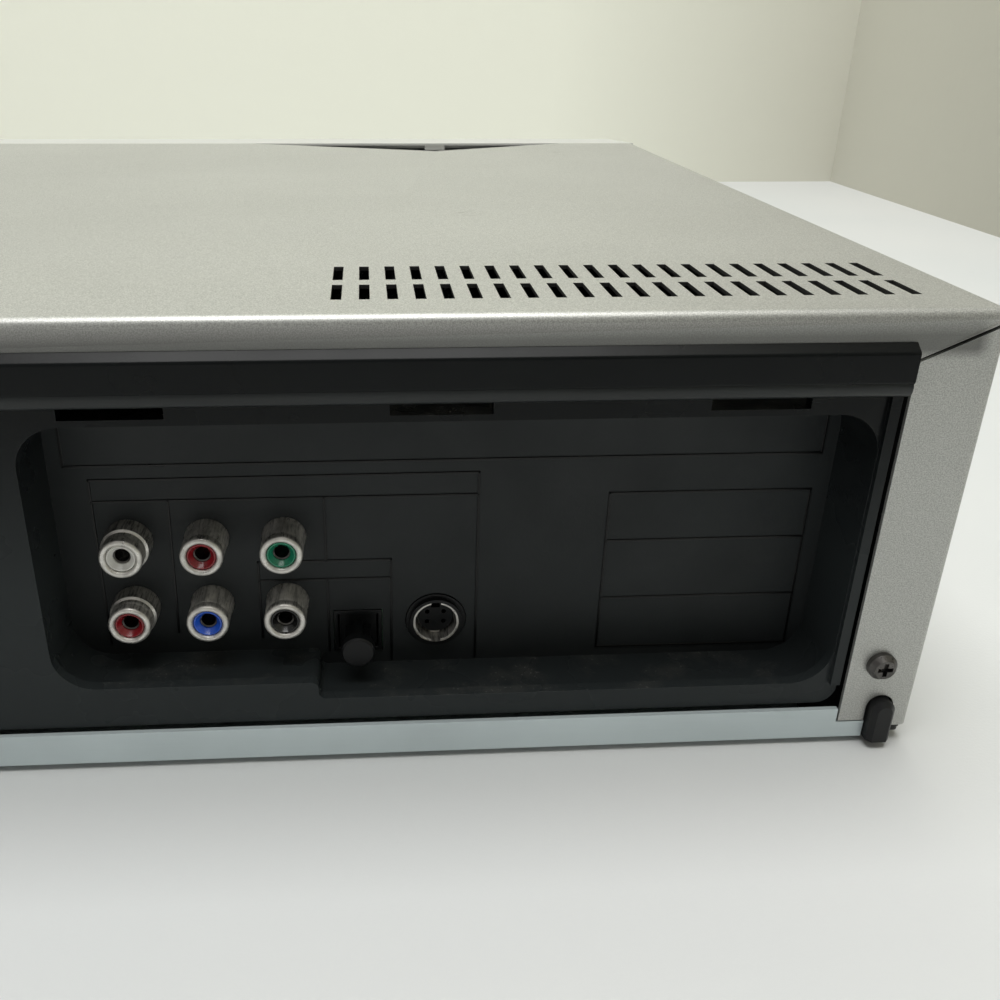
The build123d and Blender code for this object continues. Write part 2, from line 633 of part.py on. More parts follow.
def front_bay_box():
    """x0, x1, z0, z1 of the mouth behind the small front door."""
    half_w, half_h = JACK_DOOR[0] / 2 + SLIP, JACK_DOOR[1] / 2 + SLIP
    return JACK_DOOR_X - half_w, JACK_DOOR_X + half_w, KEY_ROW_Z - half_h, KEY_ROW_Z + half_h


def cinch_shell(collar):
    """Metal ring of a cinch socket, about Y, with a bevelled mouth and perhaps a wide collar."""
    mouth = Y_JACKS + RCA_PROUD
    step = RCA_COLLAR if collar else RCA_STEP
    profile = [
        (RCA_RADIUS, Y_JACKS + step),
        (RCA_RADIUS, mouth - RCA_LIP),
        (RCA_RADIUS - RCA_LIP, mouth),
        (RCA_BORE, mouth),
        (RCA_BORE, Y_BLOCKS),
        (RCA_ROOT, Y_BLOCKS),
    ]
    if collar:
        profile += [(RCA_ROOT, Y_JACKS + 0.1), (RCA_COLLAR_RADIUS, Y_JACKS + 0.1)]
    profile.append((RCA_COLLAR_RADIUS if collar else RCA_ROOT, Y_JACKS + step))
    return turned_y(profile)


def cinch_insert():
    """Coloured filling of a cinch socket, with the hole for the plug's pin."""
    end = Y_JACKS + RCA_PROUD - 0.45
    radius = RCA_BORE - SPIN
    bottom = end - RCA_PIN_DEPTH
    profile = [
        (0, Y_BLOCKS),
        (radius, Y_BLOCKS),
        (radius, end),
        (RCA_PIN_HOLE, end),
        (RCA_PIN_HOLE, bottom),
        (0, bottom),
    ]
    return turned_y(profile)


def to_front(piece, x):
    """A rear socket piece turned round and moved to the front door's bay."""
    return Pos(x, FRONT_BAY_BACK + Y_JACKS, KEY_ROW_Z) * Rot(0, 0, 180) * piece


def rca_shells():
    shells = [Pos(x, 0, z) * cinch_shell(collar) for x, z, _, collar in rca_places()]
    shells += [to_front(cinch_shell(False), x) for x, _ in front_rca_places()]
    return group(shells)


def rca_inserts(colour):
    inserts = [Pos(x, 0, z) * cinch_insert() for x, z, tint, _ in rca_places() if tint == colour]
    inserts += [to_front(cinch_insert(), x) for x, tint in front_rca_places() if tint == colour]
    return group(inserts)


def svideo_socket():
    body = block(-6.5, 6.5, Y_BLOCKS - BLOCK_DEPTH, Y_BLOCKS, BOARD_TOP - SVIDEO_Z, 6.5)
    body += along_y(0, 0, Y_BLOCKS - 1, Y_JACKS + 0.3, SVIDEO_BODY)
    body += along_y(0, 0, Y_JACKS, Y_JACKS + 1.2, SVIDEO_COLLAR)
    groove_end = Y_JACKS - SVIDEO_DEPTH
    body -= along_y(0, 0, groove_end, Y_JACKS + 2, SVIDEO_SHELL + SPIN)
    body += along_y(0, 0, groove_end - 1, Y_JACKS - 1, SVIDEO_PLUG)
    for x, z in SVIDEO_PINS:
        body -= along_y(x, z, groove_end, Y_JACKS, SVIDEO_PIN)
    body -= block(-0.9, 0.9, groove_end, Y_JACKS, 2.2, 4)
    shell = along_y(0, 0, groove_end, Y_JACKS + 1, SVIDEO_SHELL)
    shell -= along_y(0, 0, groove_end - 1, Y_JACKS + 2, SVIDEO_SHELL - SVIDEO_RING_WALL)
    shell -= block(-1, 1, Y_JACKS - 2, Y_JACKS + 2, -SVIDEO_SHELL - 1, SVIDEO_SHELL + 1)
    return group([Pos(SVIDEO_X, 0, SVIDEO_Z) * piece for piece in (body, shell)])


def optical_socket():
    half = OPTICAL_SIZE / 2
    body = block(-half, half, Y_BLOCKS - BLOCK_DEPTH, Y_BLOCKS, BOARD_TOP - OPTICAL_Z, half)
    body += block(-half, half, Y_BLOCKS - 1, Y_JACKS + 0.3, -half, half)
    cavity = OPTICAL_CAVITY / 2
    body -= block(-cavity, cavity, Y_JACKS - 8, Y_JACKS + 1, -cavity, cavity)
    return Pos(OPTICAL_X, 0, OPTICAL_Z) * body


def optical_cap():
    plug = OPTICAL_CAVITY / 2 - SLIP
    cap = block(-plug, plug, Y_JACKS - 6.5, Y_JACKS - 0.4, -plug, plug)
    neck_end = Y_JACKS + CAP_REACH - CAP_DISC
    for wide, thin in (CAP_WEB, CAP_WEB[::-1]):
        cap += block(-wide, wide, Y_JACKS - 1, neck_end, -thin, thin)
    knob = along_y(0, 0, neck_end - 0.2, Y_JACKS + CAP_REACH, CAP_KNOB)
    cap += chamfer(knob.edges().group_by(Axis.Y)[-1], 0.4)
    return Pos(OPTICAL_X, 0, OPTICAL_Z) * cap


def antenna_connectors():
    """Threaded aerial barrels with a hexagon nut, a gap and a core with a pin hole."""
    end = Y_JACKS + ANTENNA_PROUD
    profile = [
        (0, Y_BLOCKS),
        (ANTENNA_RADIUS, Y_BLOCKS),
        (ANTENNA_RADIUS, end),
        (ANTENNA_RADIUS - ANTENNA_WALL, end),
        (ANTENNA_RADIUS - ANTENNA_WALL, Y_JACKS + 2),
        (ANTENNA_CORE, Y_JACKS + 2),
        (ANTENNA_CORE, end - 1),
        (ANTENNA_PIN_HOLE, end - 1),
        (ANTENNA_PIN_HOLE, Y_JACKS + 3),
        (0, Y_JACKS + 3),
    ]
    nut = extrude(Plane.XZ * RegularPolygon(ANTENNA_RADIUS + NUT_PROUD, 6), amount=NUT_HEIGHT)
    nut = Pos(0, Y_JACKS + NUT_HEIGHT + 0.2, 0) * nut
    nut -= along_y(0, 0, Y_JACKS, Y_JACKS + NUT_HEIGHT + 0.8, ANTENNA_RADIUS - 0.5)
    barrel = turned_y(profile) + nut
    return group([Pos(ANTENNA_X, 0, z) * barrel for z in ANTENNA_ROWS])


def mains_inlet():
    front = Y_PANEL + INLET_PROUD
    body = extrude(Plane.XZ * inlet_outline(INLET_SIZE), amount=INLET_DEPTH + INLET_PROUD + INLET_BACK)
    rim = inlet_outline((INLET_SIZE[0] + INLET_RIM, INLET_SIZE[1] + INLET_RIM))
    body += extrude(Plane.XZ * rim, amount=INLET_PROUD)
    body -= extrude(Plane.XZ * inlet_outline(INLET_CAVITY), amount=INLET_DEPTH)
    pins = [along_y(side * INLET_PIN_PITCH / 2, 0, -INLET_DEPTH, -2, INLET_PIN) for side in (-1, 1)]
    place = Pos(HALF - INLET_FROM_SIDE, front, INLET_Z)
    return group([place * piece for piece in (body, *pins)])


# ---------------------------------------------------------------- boards
def jack_board_plan():
    return LOADER_X - 83, LOADER_X + 76, Y_BLOCKS - 30, Y_BLOCKS - 0.3


def power_board_plan():
    return LOADER_X - 60, LOADER_X + 60, -60.0, 70.0


def main_board_plan():
    return DECK_X - 82, DECK_X + 82, -60.0, Y_BLOCKS - 0.3


def flat_board(plan):
    x0, x1, y0, y1 = plan
    return block(x0, x1, y0, y1, BOARD_Z, BOARD_TOP)


def socket_block(x, top):
    x0, x1 = x - BLOCK_HALF, x + BLOCK_HALF
    return block(x0, x1, Y_BLOCKS - BLOCK_DEPTH, Y_BLOCKS, BOARD_TOP, top + BLOCK_HALF)


def jack_board():
    blocks = [socket_block(RCA_X - column * RCA_PITCH, RCA_ROWS[0]) for column in range(3)]
    return group([flat_board(jack_board_plan()), *blocks])


def power_board():
    pieces = [flat_board(power_board_plan())]
    for x, y, radius, height in CAPACITORS:
        pieces.append(post(LOADER_X + x, y, BOARD_TOP, BOARD_TOP + height, radius))
    return group(pieces)


def transformer():
    """Core with a window through it, which the winding fills; both are one solid."""
    x, y, z = CORE_SIZE[0] / 2, CORE_SIZE[1] / 2, CORE_SIZE[2]
    wy, wz = CORE_WINDOW[0] / 2, CORE_WINDOW[1] / 2
    core = block(-x, x, -y, y, 0, z) - block(-x - 0.1, x + 0.1, -wy, wy, z / 2 - wz, z / 2 + wz)
    winding = block(4 - x, x - 4, 0.2 - wy, wy - 0.2, z / 2 - wz + 0.2, z / 2 + wz - 0.2)
    winding = fillet(winding.edges().filter_by(Axis.X), 2)
    return group([Pos(LOADER_X, -8, BOARD_TOP) * (core + winding)])


def heat_sink():
    half, depth, height = SINK_SIZE[0] / 2, SINK_SIZE[1], SINK_SIZE[2]
    sink = block(-half, half, 0, SINK_SHEET, 0, height)
    for fin in range(SINK_FINS):
        x = -half + fin * (SINK_SIZE[0] - FIN_SHEET) / (SINK_FINS - 1)
        sink += block(x, x + FIN_SHEET, SINK_SHEET, depth, 0, height)
    return Pos(LOADER_X, 34, BOARD_TOP) * sink


def main_board():
    pieces = [flat_board(main_board_plan())]
    for column in range(2):
        pieces.append(socket_block(SHARED_X + column * RCA_PITCH, RCA_ROWS[2]))
    tuner_top = ANTENNA_ROWS[0] + 9
    pieces.append(block(ANTENNA_X - 9, ANTENNA_X + 9, Y_BLOCKS - 16, Y_BLOCKS, BOARD_TOP, tuner_top))
    return group(pieces)


def display_board():
    y0, y1 = Y_BOARD, Y_BOARD + BOARD_SHEET
    left, right = POWER_KEY[0] - 9, JACK_DOOR_X - JACK_DOOR[0] / 2 - 6
    board = block(left, right, y0, y1, 11, 42)
    ear_x = KEYS["open_close_button"][0]
    board += block(ear_x - 10, ear_x + 10, y0, y1, 40, TRAY_FRONT_Z + 6)
    switches = [(x, z) for x, z, _, _ in KEYS.values()] + [(POWER_KEY[0], POWER_KEY[1])]
    switches += [(ROCKER[0] - 11, ROCKER[1]), (ROCKER[0] + 11, ROCKER[1])]
    pieces = [board]
    for x, z in switches:
        pieces.append(block(x - 3, x + 3, y0 - 1.6, y0, z - 3, z + 3))
    pieces.append(block(-52, 52, Y_FACE + FASCIA_WALL + 0.5, y0, KEY_ROW_Z - 9, KEY_ROW_Z + 9))
    jack_y = FRONT_BAY_BACK + BAY_WALL + SLIP
    half = RCA_PITCH + BLOCK_HALF
    x0, x1 = JACK_DOOR_X - half, JACK_DOOR_X + half
    pieces.append(block(x0, x1, jack_y, jack_y + 7, KEY_ROW_Z - 7, KEY_ROW_Z + 7))
    return group(pieces)


# ---------------------------------------------------------------- disc loader
def gear_place(teeth, x_pitch):
    return x_pitch + TOOTH_MODULE * teeth / 2


TRAY_RACK_X = LOADER_X - TRAY_WIDTH / 2 + 6.0
TRAY_GEAR = (gear_place(TRAY_GEAR_TEETH, TRAY_RACK_X), Y_FACE + TRAY_GEAR_FROM_FRONT)
SLED_RACK_X = LOADER_X + ROD_GAUGE + 7.0
SLED_GEAR = (gear_place(SLED_GEAR_TEETH, SLED_RACK_X), HUB_Y + 39.0)
TRAY_FRONT_Y = Y_FACE + TRAY_FRONT[2]


def disc_tray():
    half = TRAY_WIDTH / 2
    back = TRAY_FRONT_Y + TRAY_LENGTH
    tray = block(-half, half, TRAY_FRONT_Y, back, TRAY_Z, TRAY_Z + TRAY_SHEET)
    floor = TRAY_Z + TRAY_SHEET - DISC_RECESS
    tray -= post(0, HUB_Y, floor, TRAY_Z + TRAY_SHEET + 1, DISC_RADIUS)
    tray -= post(0, HUB_Y, floor - SMALL_RECESS, TRAY_Z + TRAY_SHEET + 1, SMALL_DISC_RADIUS)
    tray -= post(0, HUB_Y, TRAY_Z - 1, TRAY_Z + TRAY_SHEET + 1, HUB_SLOT)
    tray -= block(-HUB_SLOT, HUB_SLOT, HUB_Y, back + 1, TRAY_Z - 1, TRAY_Z + TRAY_SHEET + 1)
    for side in (-1, 1):
        tray -= block(side * 30, side * 70, HUB_Y - 9, HUB_Y + 9, floor, TRAY_Z + TRAY_SHEET + 1)
    tray = Pos(LOADER_X, 0, 0) * tray
    rack_z = TRAY_FRONT_Z - TRAY_FRONT[1] / 2 + 0.2
    tray += rack(TRAY_RACK_X - 3, TRAY_RACK_X, TRAY_GEAR[1], TRAY_GEAR[1] - 6, back - 0.5, rack_z, TRAY_Z)
    return tray


def tray_front():
    w, h, t = TRAY_FRONT
    plate = block(-w / 2, w / 2, 0, t, -h / 2, h / 2)
    plate = chamfer(plate.edges().group_by(Axis.Y)[0], 0.6)
    return Pos(LOADER_X, Y_FACE, TRAY_FRONT_Z) * plate


def loader_frame():
    inner = TRAY_WIDTH / 2 + 0.4
    outer = inner + FRAME_WALL
    front = Y_COVER_FRONT + 2
    top = FRAME_FLOOR_Z + FRAME_FLOOR
    frame = block(-outer, outer, front, FRAME_BACK, FRAME_FLOOR_Z, FRAME_TOP)
    frame -= block(-inner, inner, front - 1, FRAME_BACK - FRAME_WALL, top, FRAME_TOP + 1)
    opening = TRAVERSE_WIDTH / 2 + 1.5
    frame -= block(-opening, opening, HUB_Y - 31, FRAME_BACK - 6, FRAME_FLOOR_Z - 1, top + 1)
    for side in (-1, 1):
        ledge_in = inner - LEDGE_WIDTH
        frame += block(side * ledge_in, side * outer, front, FRAME_BACK, TRAY_Z - 2.3, TRAY_Z - SLIP)
        tabs_z = TRAY_Z + TRAY_SHEET + SLIP
        for y in (front + 6, HUB_Y + 5, HUB_Y + 70):
            frame += block(side * ledge_in, side * outer, y, y + 12, tabs_z, tabs_z + 1.6)
        bearing_x = TRAVERSE_WIDTH / 2 + 2.5
        axis_y = traverse_axis()[0]
        x0, x1 = side * bearing_x, side * (bearing_x + 5)
        bearing = block(x0, x1, axis_y - 4, axis_y + 4, top - 0.5, TRAVERSE_Z + 4)
        bearing -= along_x(*traverse_axis(), x0 - side, x1 + 2 * side, TRAVERSE_PIN + SPIN)
        frame += bearing
        for y in (front + 7, FRAME_BACK - 7):
            frame += post(side * (outer - 0.5), y, PLATE_TOP, FRAME_FLOOR_Z + 1, LEG_RADIUS)
    frame = Pos(LOADER_X, 0, 0) * frame
    frame += post(*TRAY_GEAR, top - 0.5, gear_zone()[0] - 0.2, 4)
    frame += post(*TRAY_GEAR, top - 0.5, gear_zone()[1], 2)
    return frame


def gear_zone():
    z1 = TRAY_Z - 0.4
    return z1 - 3.2, z1


def traverse_axis():
    return FRAME_BACK - 14.0, TRAVERSE_Z + TRAVERSE_SHEET / 2


def loading_gear():
    return Pos(*TRAY_GEAR, 0) * toothed_wheel(TRAY_GEAR_TEETH, *gear_zone(), 2 + SPIN, 180)


def loading_motor():
    motor = post(0, 0, FRAME_FLOOR_Z - 16, FRAME_FLOOR_Z, 10)
    motor += post(0, 0, FRAME_FLOOR_Z - 18, FRAME_FLOOR_Z - 15, 3)
    return Pos(LOADER_X + 40, TRAY_GEAR[1], 0) * motor


def traverse_deck():
    half = TRAVERSE_WIDTH / 2
    z0, z1 = TRAVERSE_Z, TRAVERSE_Z + TRAVERSE_SHEET
    axis_y, axis_z = traverse_axis()
    deck = block(-half, half, HUB_Y - 28, axis_y, z0, z1)
    deck -= block(-30, 30, HUB_Y + 14, axis_y - 8, z0 - 1, z1 + 1)
    deck += along_x(axis_y, axis_z, -half - 6.5, half + 6.5, TRAVERSE_PIN)
    deck += post(0, HUB_Y, z0 - 8, z0, MOTOR_RADIUS)
    deck += post(0, HUB_Y, z1, z1 + 1.5, 5)
    rod_z = z1 + 3.3
    for side in (-1, 1):
        x = side * ROD_GAUGE
        for y in (HUB_Y + 10, axis_y - 8):
            deck += block(x - 3, x + 3, y, y + 4, z1 - 0.2, rod_z + 2.5)
        deck += along_y(x, rod_z, HUB_Y + 11, axis_y - 5, ROD_RADIUS)
    deck = Pos(LOADER_X, 0, 0) * deck
    deck += post(*SLED_GEAR, z1 - 0.1, z1 + 0.8, 3)
    deck += post(*SLED_GEAR, z1 - 0.1, z1 + 4, 1.2)
    return deck


def turntable():
    bottom = TRAVERSE_Z + TRAVERSE_SHEET + 1.5 + 0.2
    table = TRAY_Z + TRAY_SHEET - DISC_RECESS + 0.5
    profile = [
        (0, bottom),
        (2.5, bottom),
        (2.5, table - 1.5),
        (TURNTABLE_RADIUS, table - 1.5),
        (TURNTABLE_RADIUS, table),
        (DISC_HOLE_RADIUS - 0.1, table),
        (DISC_HOLE_RADIUS - 1.5, table + 2.2),
        (0, table + 2.2),
    ]
    return Pos(LOADER_X, HUB_Y, 0) * turned(profile)


def pickup():
    z1 = TRAVERSE_Z + TRAVERSE_SHEET
    rod_z = z1 + 3.3
    y0 = HUB_Y + 17
    body = block(-19, 19, y0, y0 + 30, z1 + 0.6, z1 + 6.4)
    body += block(-ROD_GAUGE - 3, ROD_GAUGE + 3, y0 + 2, y0 + 26, z1 + 1.0, z1 + 5.6)
    body += post(0, y0 + 7, z1 + 6, z1 + 8.6, 4.5)
    body += post(0, y0 + 7, z1 + 8, z1 + 9.2, 2.6)
    for side in (-1, 1):
        body -= along_y(side * ROD_GAUGE, rod_z, y0 - 1, y0 + 40, ROD_RADIUS + SPIN)
    body = Pos(LOADER_X, 0, 0) * body
    bar_x = LOADER_X + ROD_GAUGE + 3
    teeth = rack(bar_x, SLED_RACK_X, SLED_GEAR[1], SLED_GEAR[1] - 39, SLED_GEAR[1] + 5, z1 + 1.0, z1 + 3.4)
    return body + teeth + block(bar_x - 1, bar_x + 1, y0 + 3, y0 + 25, z1 + 1.0, z1 + 3.4)


def sled_gear():
    z1 = TRAVERSE_Z + TRAVERSE_SHEET
    return Pos(*SLED_GEAR, 0) * toothed_wheel(SLED_GEAR_TEETH, z1 + 1.0, z1 + 3.6, 1.2 + SPIN, 180)


def clamper_bridge():
    half = TRAY_WIDTH / 2 + 0.4 + FRAME_WALL
    bridge = block(-half, half, -16, 16, FRAME_TOP, FRAME_TOP + 1.2)
    bridge -= post(0, 0, FRAME_TOP - 1, FRAME_TOP + 2, CLAMPER_RADIUS - 2.5)
    for side in (-1, 1):
        bridge -= block(side * 25, side * 52, -8, 8, FRAME_TOP - 1, FRAME_TOP + 2)
    return Pos(LOADER_X, HUB_Y, 0) * bridge


def clamper():
    """Spool that hangs in the bridge and rests on a disc's hub."""
    neck = CLAMPER_RADIUS - 3
    profile = [
        (0, FRAME_TOP - 4.5),
        (CLAMPER_RADIUS, FRAME_TOP - 4.5),
        (CLAMPER_RADIUS, FRAME_TOP - 1.5),
        (neck, FRAME_TOP - 1.5),
        (neck, FRAME_TOP + 1.5),
        (CLAMPER_RADIUS, FRAME_TOP + 1.5),
        (CLAMPER_RADIUS, FRAME_TOP + 3),
        (0, FRAME_TOP + 3),
    ]
    return Pos(LOADER_X, HUB_Y, 0) * turned(profile)


# ---------------------------------------------------------------- cassette deck
def deck_chassis():
    deck = block(-DECK_HALF, DECK_HALF, DECK_FRONT, DECK_BACK, DECK_Z, DECK_TOP)
    deck -= block(-28, 28, DECK_FRONT + 8, REEL_Y - 22, DECK_Z - 1, DECK_TOP + 1)
    for side in (-1, 1):
        for y in (DECK_FRONT + 6, DECK_BACK - 6):
            deck += post(side * (DECK_HALF - 13), y, PLATE_TOP, DECK_Z, LEG_RADIUS)
        deck += post(side * REEL_SPACING / 2, REEL_Y, DECK_TOP, DECK_TOP + 8, 2)
    deck += post(*CAPSTAN, DECK_Z - 1.5, DECK_TOP + 12, CAPSTAN_RADIUS + 2)
    deck -= post(*CAPSTAN, DECK_Z - 3, DECK_TOP + 13, CAPSTAN_RADIUS + SPIN)
    deck += post(*PINCH_PIVOT, DECK_TOP, DECK_TOP + 3, 4)
    deck += post(*PINCH_PIVOT, DECK_TOP, DECK_TOP + 8, 2)
    return Pos(DECK_X, 0, 0) * deck


def carriage_plates():
    """The two side plates with the L-shaped slots that steer the basket."""
    top = CASSETTE_Z + CASSETTE[1] + 8
    plate = block(-DECK_HALF, -PLATES_IN, DECK_FRONT + 2, 44, DECK_TOP, top)
    slot_z = CASSETTE_Z + 8
    y_in = BASKET_FRONT + 20
    plate -= block(-DECK_HALF - 1, -PLATES_IN + 1, y_in, y_in + 66, slot_z, slot_z + 4)
    plate -= block(-DECK_HALF - 1, -PLATES_IN + 1, y_in + 62, y_in + 66, slot_z - 16, slot_z + 1)
    plate -= block(-DECK_HALF - 1, -PLATES_IN + 1, DECK_FRONT + 12, 34, DECK_TOP + 6, slot_z - 22)
    return group([Pos(DECK_X, 0, 0) * side for side in both_sides(plate)])


def carriage_slider():
    y0 = BASKET_FRONT + 5
    top = CASSETTE_Z + CASSETTE[1] + 7
    arm = block(-SLIDER_IN - SLIDER_WALL, -SLIDER_IN, y0, y0 + 40, DECK_TOP + 6, top)
    arm -= block(-SLIDER_IN - 3, -SLIDER_IN + 1, y0 + 17, y0 + 21, CASSETTE_Z - 8, CASSETTE_Z + 16)
    slider = both_sides(arm)
    bar = block(-SLIDER_IN - SLIDER_WALL, SLIDER_IN + SLIDER_WALL, y0 + 14, y0 + 26, top - 1.2, top)
    return Pos(DECK_X, 0, 0) * (slider[0] + slider[1] + bar)


def cassette_basket():
    inner = CASSETTE[0] / 2 + SLIP
    outer = inner + BASKET_WALL
    back = BASKET_FRONT + BASKET_DEPTH
    bottom = CASSETTE_Z - BASKET_SHEET
    top = CASSETTE_Z + CASSETTE[1] + SLIP
    basket = block(-outer, outer, BASKET_FRONT, back, top, top + BASKET_SHEET)
    basket -= block(-40, 40, BASKET_FRONT + 14, back - 12, top - 1, top + 2)
    for side in (-1, 1):
        basket += block(side * inner, side * outer, BASKET_FRONT, back, bottom, top + BASKET_SHEET)
        basket += block(side * (inner - 13), side * outer, BASKET_FRONT, back, bottom, CASSETTE_Z)
    return Pos(DECK_X, 0, 0) * basket


def drum_axis():
    return Pos(DECK_X, DRUM_Y, DECK_TOP) * Rot(DRUM_TILT, 0, 0)


def lower_drum():
    drum = drum_axis() * (Pos(0, 0, 8) * Cylinder(DRUM_RADIUS, 26))
    above = block(DECK_X - 60, DECK_X + 60, DRUM_Y - 60, DRUM_Y + 60, DECK_TOP, DECK_TOP + 60)
    return drum & above


def upper_drum():
    drum = Pos(0, 0, 30.3) * Cylinder(DRUM_RADIUS, 18)
    drum -= Pos(0, 0, 38.8) * Cylinder(DRUM_RADIUS - 7, 4)
    drum += Pos(0, 0, 38.4) * Cylinder(8, 5)
    return drum_axis() * drum


def capstan():
    """Shaft and flywheel in one, with the wheel hollowed from below."""
    shaft_end = CASSETTE_Z + 10
    profile = [
        (0, DECK_Z - 10),
        (FLYWHEEL_RADIUS - 3, DECK_Z - 10),
        (FLYWHEEL_RADIUS - 3, DECK_Z - 12),
        (FLYWHEEL_RADIUS, DECK_Z - 12),
        (FLYWHEEL_RADIUS, DECK_Z - 4),
        (5, DECK_Z - 4),
        (5, DECK_Z - 1.8),
        (CAPSTAN_RADIUS, DECK_Z - 1.8),
        (CAPSTAN_RADIUS, shaft_end),
        (0, shaft_end),
    ]
    return Pos(DECK_X + CAPSTAN[0], CAPSTAN[1], 0) * turned(profile)


def pinch_lever():
    angle = math.radians(PINCH_REST)
    px, py = PINCH_PIVOT
    rx, ry = px + PINCH_ARM * math.cos(angle), py + PINCH_ARM * math.sin(angle)
    z0 = DECK_TOP + 3.3
    arm = extrude(SlotCenterToCenter(PINCH_ARM, 9), amount=3)
    lever = Pos((px + rx) / 2, (py + ry) / 2, z0) * Rot(0, 0, PINCH_REST) * arm
    lever -= post(px, py, z0 - 1, z0 + 4, 2 + SPIN)
    lever += post(rx, ry, z0, z0 + 27, 1.5)
    roller = post(rx, ry, z0 + 10, z0 + 25, PINCH_ROLLER) - post(rx, ry, z0 + 9, z0 + 26, 1.5 + SPIN)
    lever += post(rx, ry, z0 + 2, z0 + 9.8, 3.5)
    lever += post(rx, ry, z0 + 25.2, z0 + 27, 3)
    return group([Pos(DECK_X, 0, 0) * piece for piece in (lever, roller)])


def reel(side):
    """Reel table with a splined spindle, bored to turn on the deck's pin."""
    z0 = DECK_TOP + 0.8
    bore = 2 + SPIN
    profile = [
        (bore, z0),
        (REEL_RADIUS, z0),
        (REEL_RADIUS, z0 + 3),
        (4.2, z0 + 3),
        (4.2, z0 + 13),
        (2.4, z0 + 15),
        (0, z0 + 15),
        (0, z0 + 9),
        (bore, z0 + 9),
    ]
    table = turned(profile)
    for blade in range(3):
        table += Rot(0, 0, blade * 120) * block(3, 6.5, -0.8, 0.8, z0 + 2, z0 + 12)
    return Pos(DECK_X + side * REEL_SPACING / 2, REEL_Y, 0) * table


def tape_guides():
    pieces = []
    for side in (-1, 1):
        pieces.append(post(side * 38, 34, DECK_TOP, DECK_TOP + 30, 3))
    pieces.append(block(-66, -55, 26, 34, DECK_TOP, DECK_TOP + 28))
    pieces.append(block(27, 35, 24, 30, DECK_TOP, DECK_TOP + 30))
    return group([Pos(DECK_X, 0, 0) * piece for piece in pieces])


# ---------------------------------------------------------------- front panel and keys
def fascia_form(inset, z0, z1):
    """The front panel's plan, tapered at both ends, as a block."""
    back = Y_COVER_FRONT + (1 if inset else 0)
    x_back = HALF - inset
    x_front = HALF - FASCIA_TAPER - inset
    face = Y_FACE + inset
    points = [(-x_back, back), (-x_front, face), (x_front, face), (x_back, back)]
    return Pos(0, 0, z0) * extrude(make_face(Polyline(*points, close=True)), amount=z1 - z0)


def key_holes():
    holes = []
    for x, z, w, h in [*KEYS.values(), ROCKER]:
        half_w, half_h = w / 2 + KEY_GAP, h / 2 + KEY_GAP
        holes.append(block(x - half_w, x + half_w, Y_FACE - 1, Y_FACE + 5, z - half_h, z + half_h))
    holes.append(along_y(POWER_KEY[0], POWER_KEY[1], Y_FACE - 1, Y_FACE + 5, POWER_KEY[2] + KEY_GAP))
    return holes


def front_panel():
    panel = fascia_form(0, FASCIA_BOTTOM, HEIGHT)
    front_edges = panel.edges().filter_by(Axis.X).group_by(Axis.Y)[0]
    corner_edges = panel.edges().filter_by(Axis.Z).group_by(Axis.Y)[0]
    panel = fillet(front_edges + corner_edges, FASCIA_ROUND)
    panel -= fascia_form(FASCIA_WALL, FASCIA_BOTTOM + FASCIA_WALL, HEIGHT - FASCIA_WALL)
    sag_x0, sag_x1 = -HALF + SAG_SPAN[0], -HALF + SAG_SPAN[2]
    top_in = HEIGHT - FASCIA_WALL
    panel -= block(sag_x0, sag_x1, Y_COVER_FRONT - 3, Y_COVER_FRONT + 1, top_in - 1, HEIGHT - 0.8)
    tab_x = -HALF + SAG_SPAN[1]
    panel += block(tab_x - 4, tab_x + 4, Y_COVER_FRONT - 6, Y_COVER_FRONT - 0.3, HEIGHT - 2.6, HEIGHT - 0.7)
    face = Y_FACE
    wall = Y_FACE + FASCIA_WALL
    w, h = TRAY_FRONT[0] / 2 + 0.5, TRAY_FRONT[1] / 2 + 0.5
    cuts = [block(LOADER_X - w, LOADER_X + w, face - 1, wall + 1, TRAY_FRONT_Z - h, TRAY_FRONT_Z + h)]
    fw = FLAP_SIZE[0] / 2 + SLIP
    cuts.append(block(DECK_X - fw, DECK_X + fw, face - 1, wall + 1, FLAP_BOTTOM - SLIP, FLAP_TOP + SLIP))
    ww, wh = WINDOW[0] / 2, WINDOW[1] / 2
    for grow, depth in ((0.1, face + WINDOW[2]), (-WINDOW_LEDGE, wall + 1)):
        x1, z0, z1 = ww + grow, KEY_ROW_Z - wh - grow, KEY_ROW_Z + wh + grow
        cuts.append(block(-x1, x1, face - 1, depth, z0, z1))
    ear_in = FLAP_SIZE[0] / 2 + SLIP
    for side in (-1, 1):
        x0, x1 = DECK_X + side * ear_in, DECK_X + side * (ear_in + 3)
        panel += block(x0, x1, wall - 0.5, wall + 6, FLAP_AXIS[1] - 3.5, FLAP_AXIS[1] + 3.5)
        cuts.append(along_x(*FLAP_AXIS, x0 - side, x1 - side * 1.0, FLAP_PIN + SPIN))
    x0, x1, z0, z1 = front_bay_box()
    cuts.append(block(x0, x1, face - 1, wall + 1, z0, z1))
    cuts.append(along_x(*DOOR_AXIS, x0 - 1.2, x1 + 1.2, DOOR_PIN + SPIN))
    pegs = [-WINDOW[0] / 2 - 4, WINDOW[0] / 2 + 4]
    pegs += [KEYS["dvd_play_button"][0] - 18, KEYS["vcr_forward_button"][0] + 11]
    for x in pegs:
        panel += along_y(x, 38, wall - 0.5, Y_BOARD, 1.8)
    return panel - cuts - key_holes()


def display_window():
    w, h, t = WINDOW
    return block(-w / 2, w / 2, Y_FACE, Y_FACE + t, KEY_ROW_Z - h / 2, KEY_ROW_Z + h / 2)


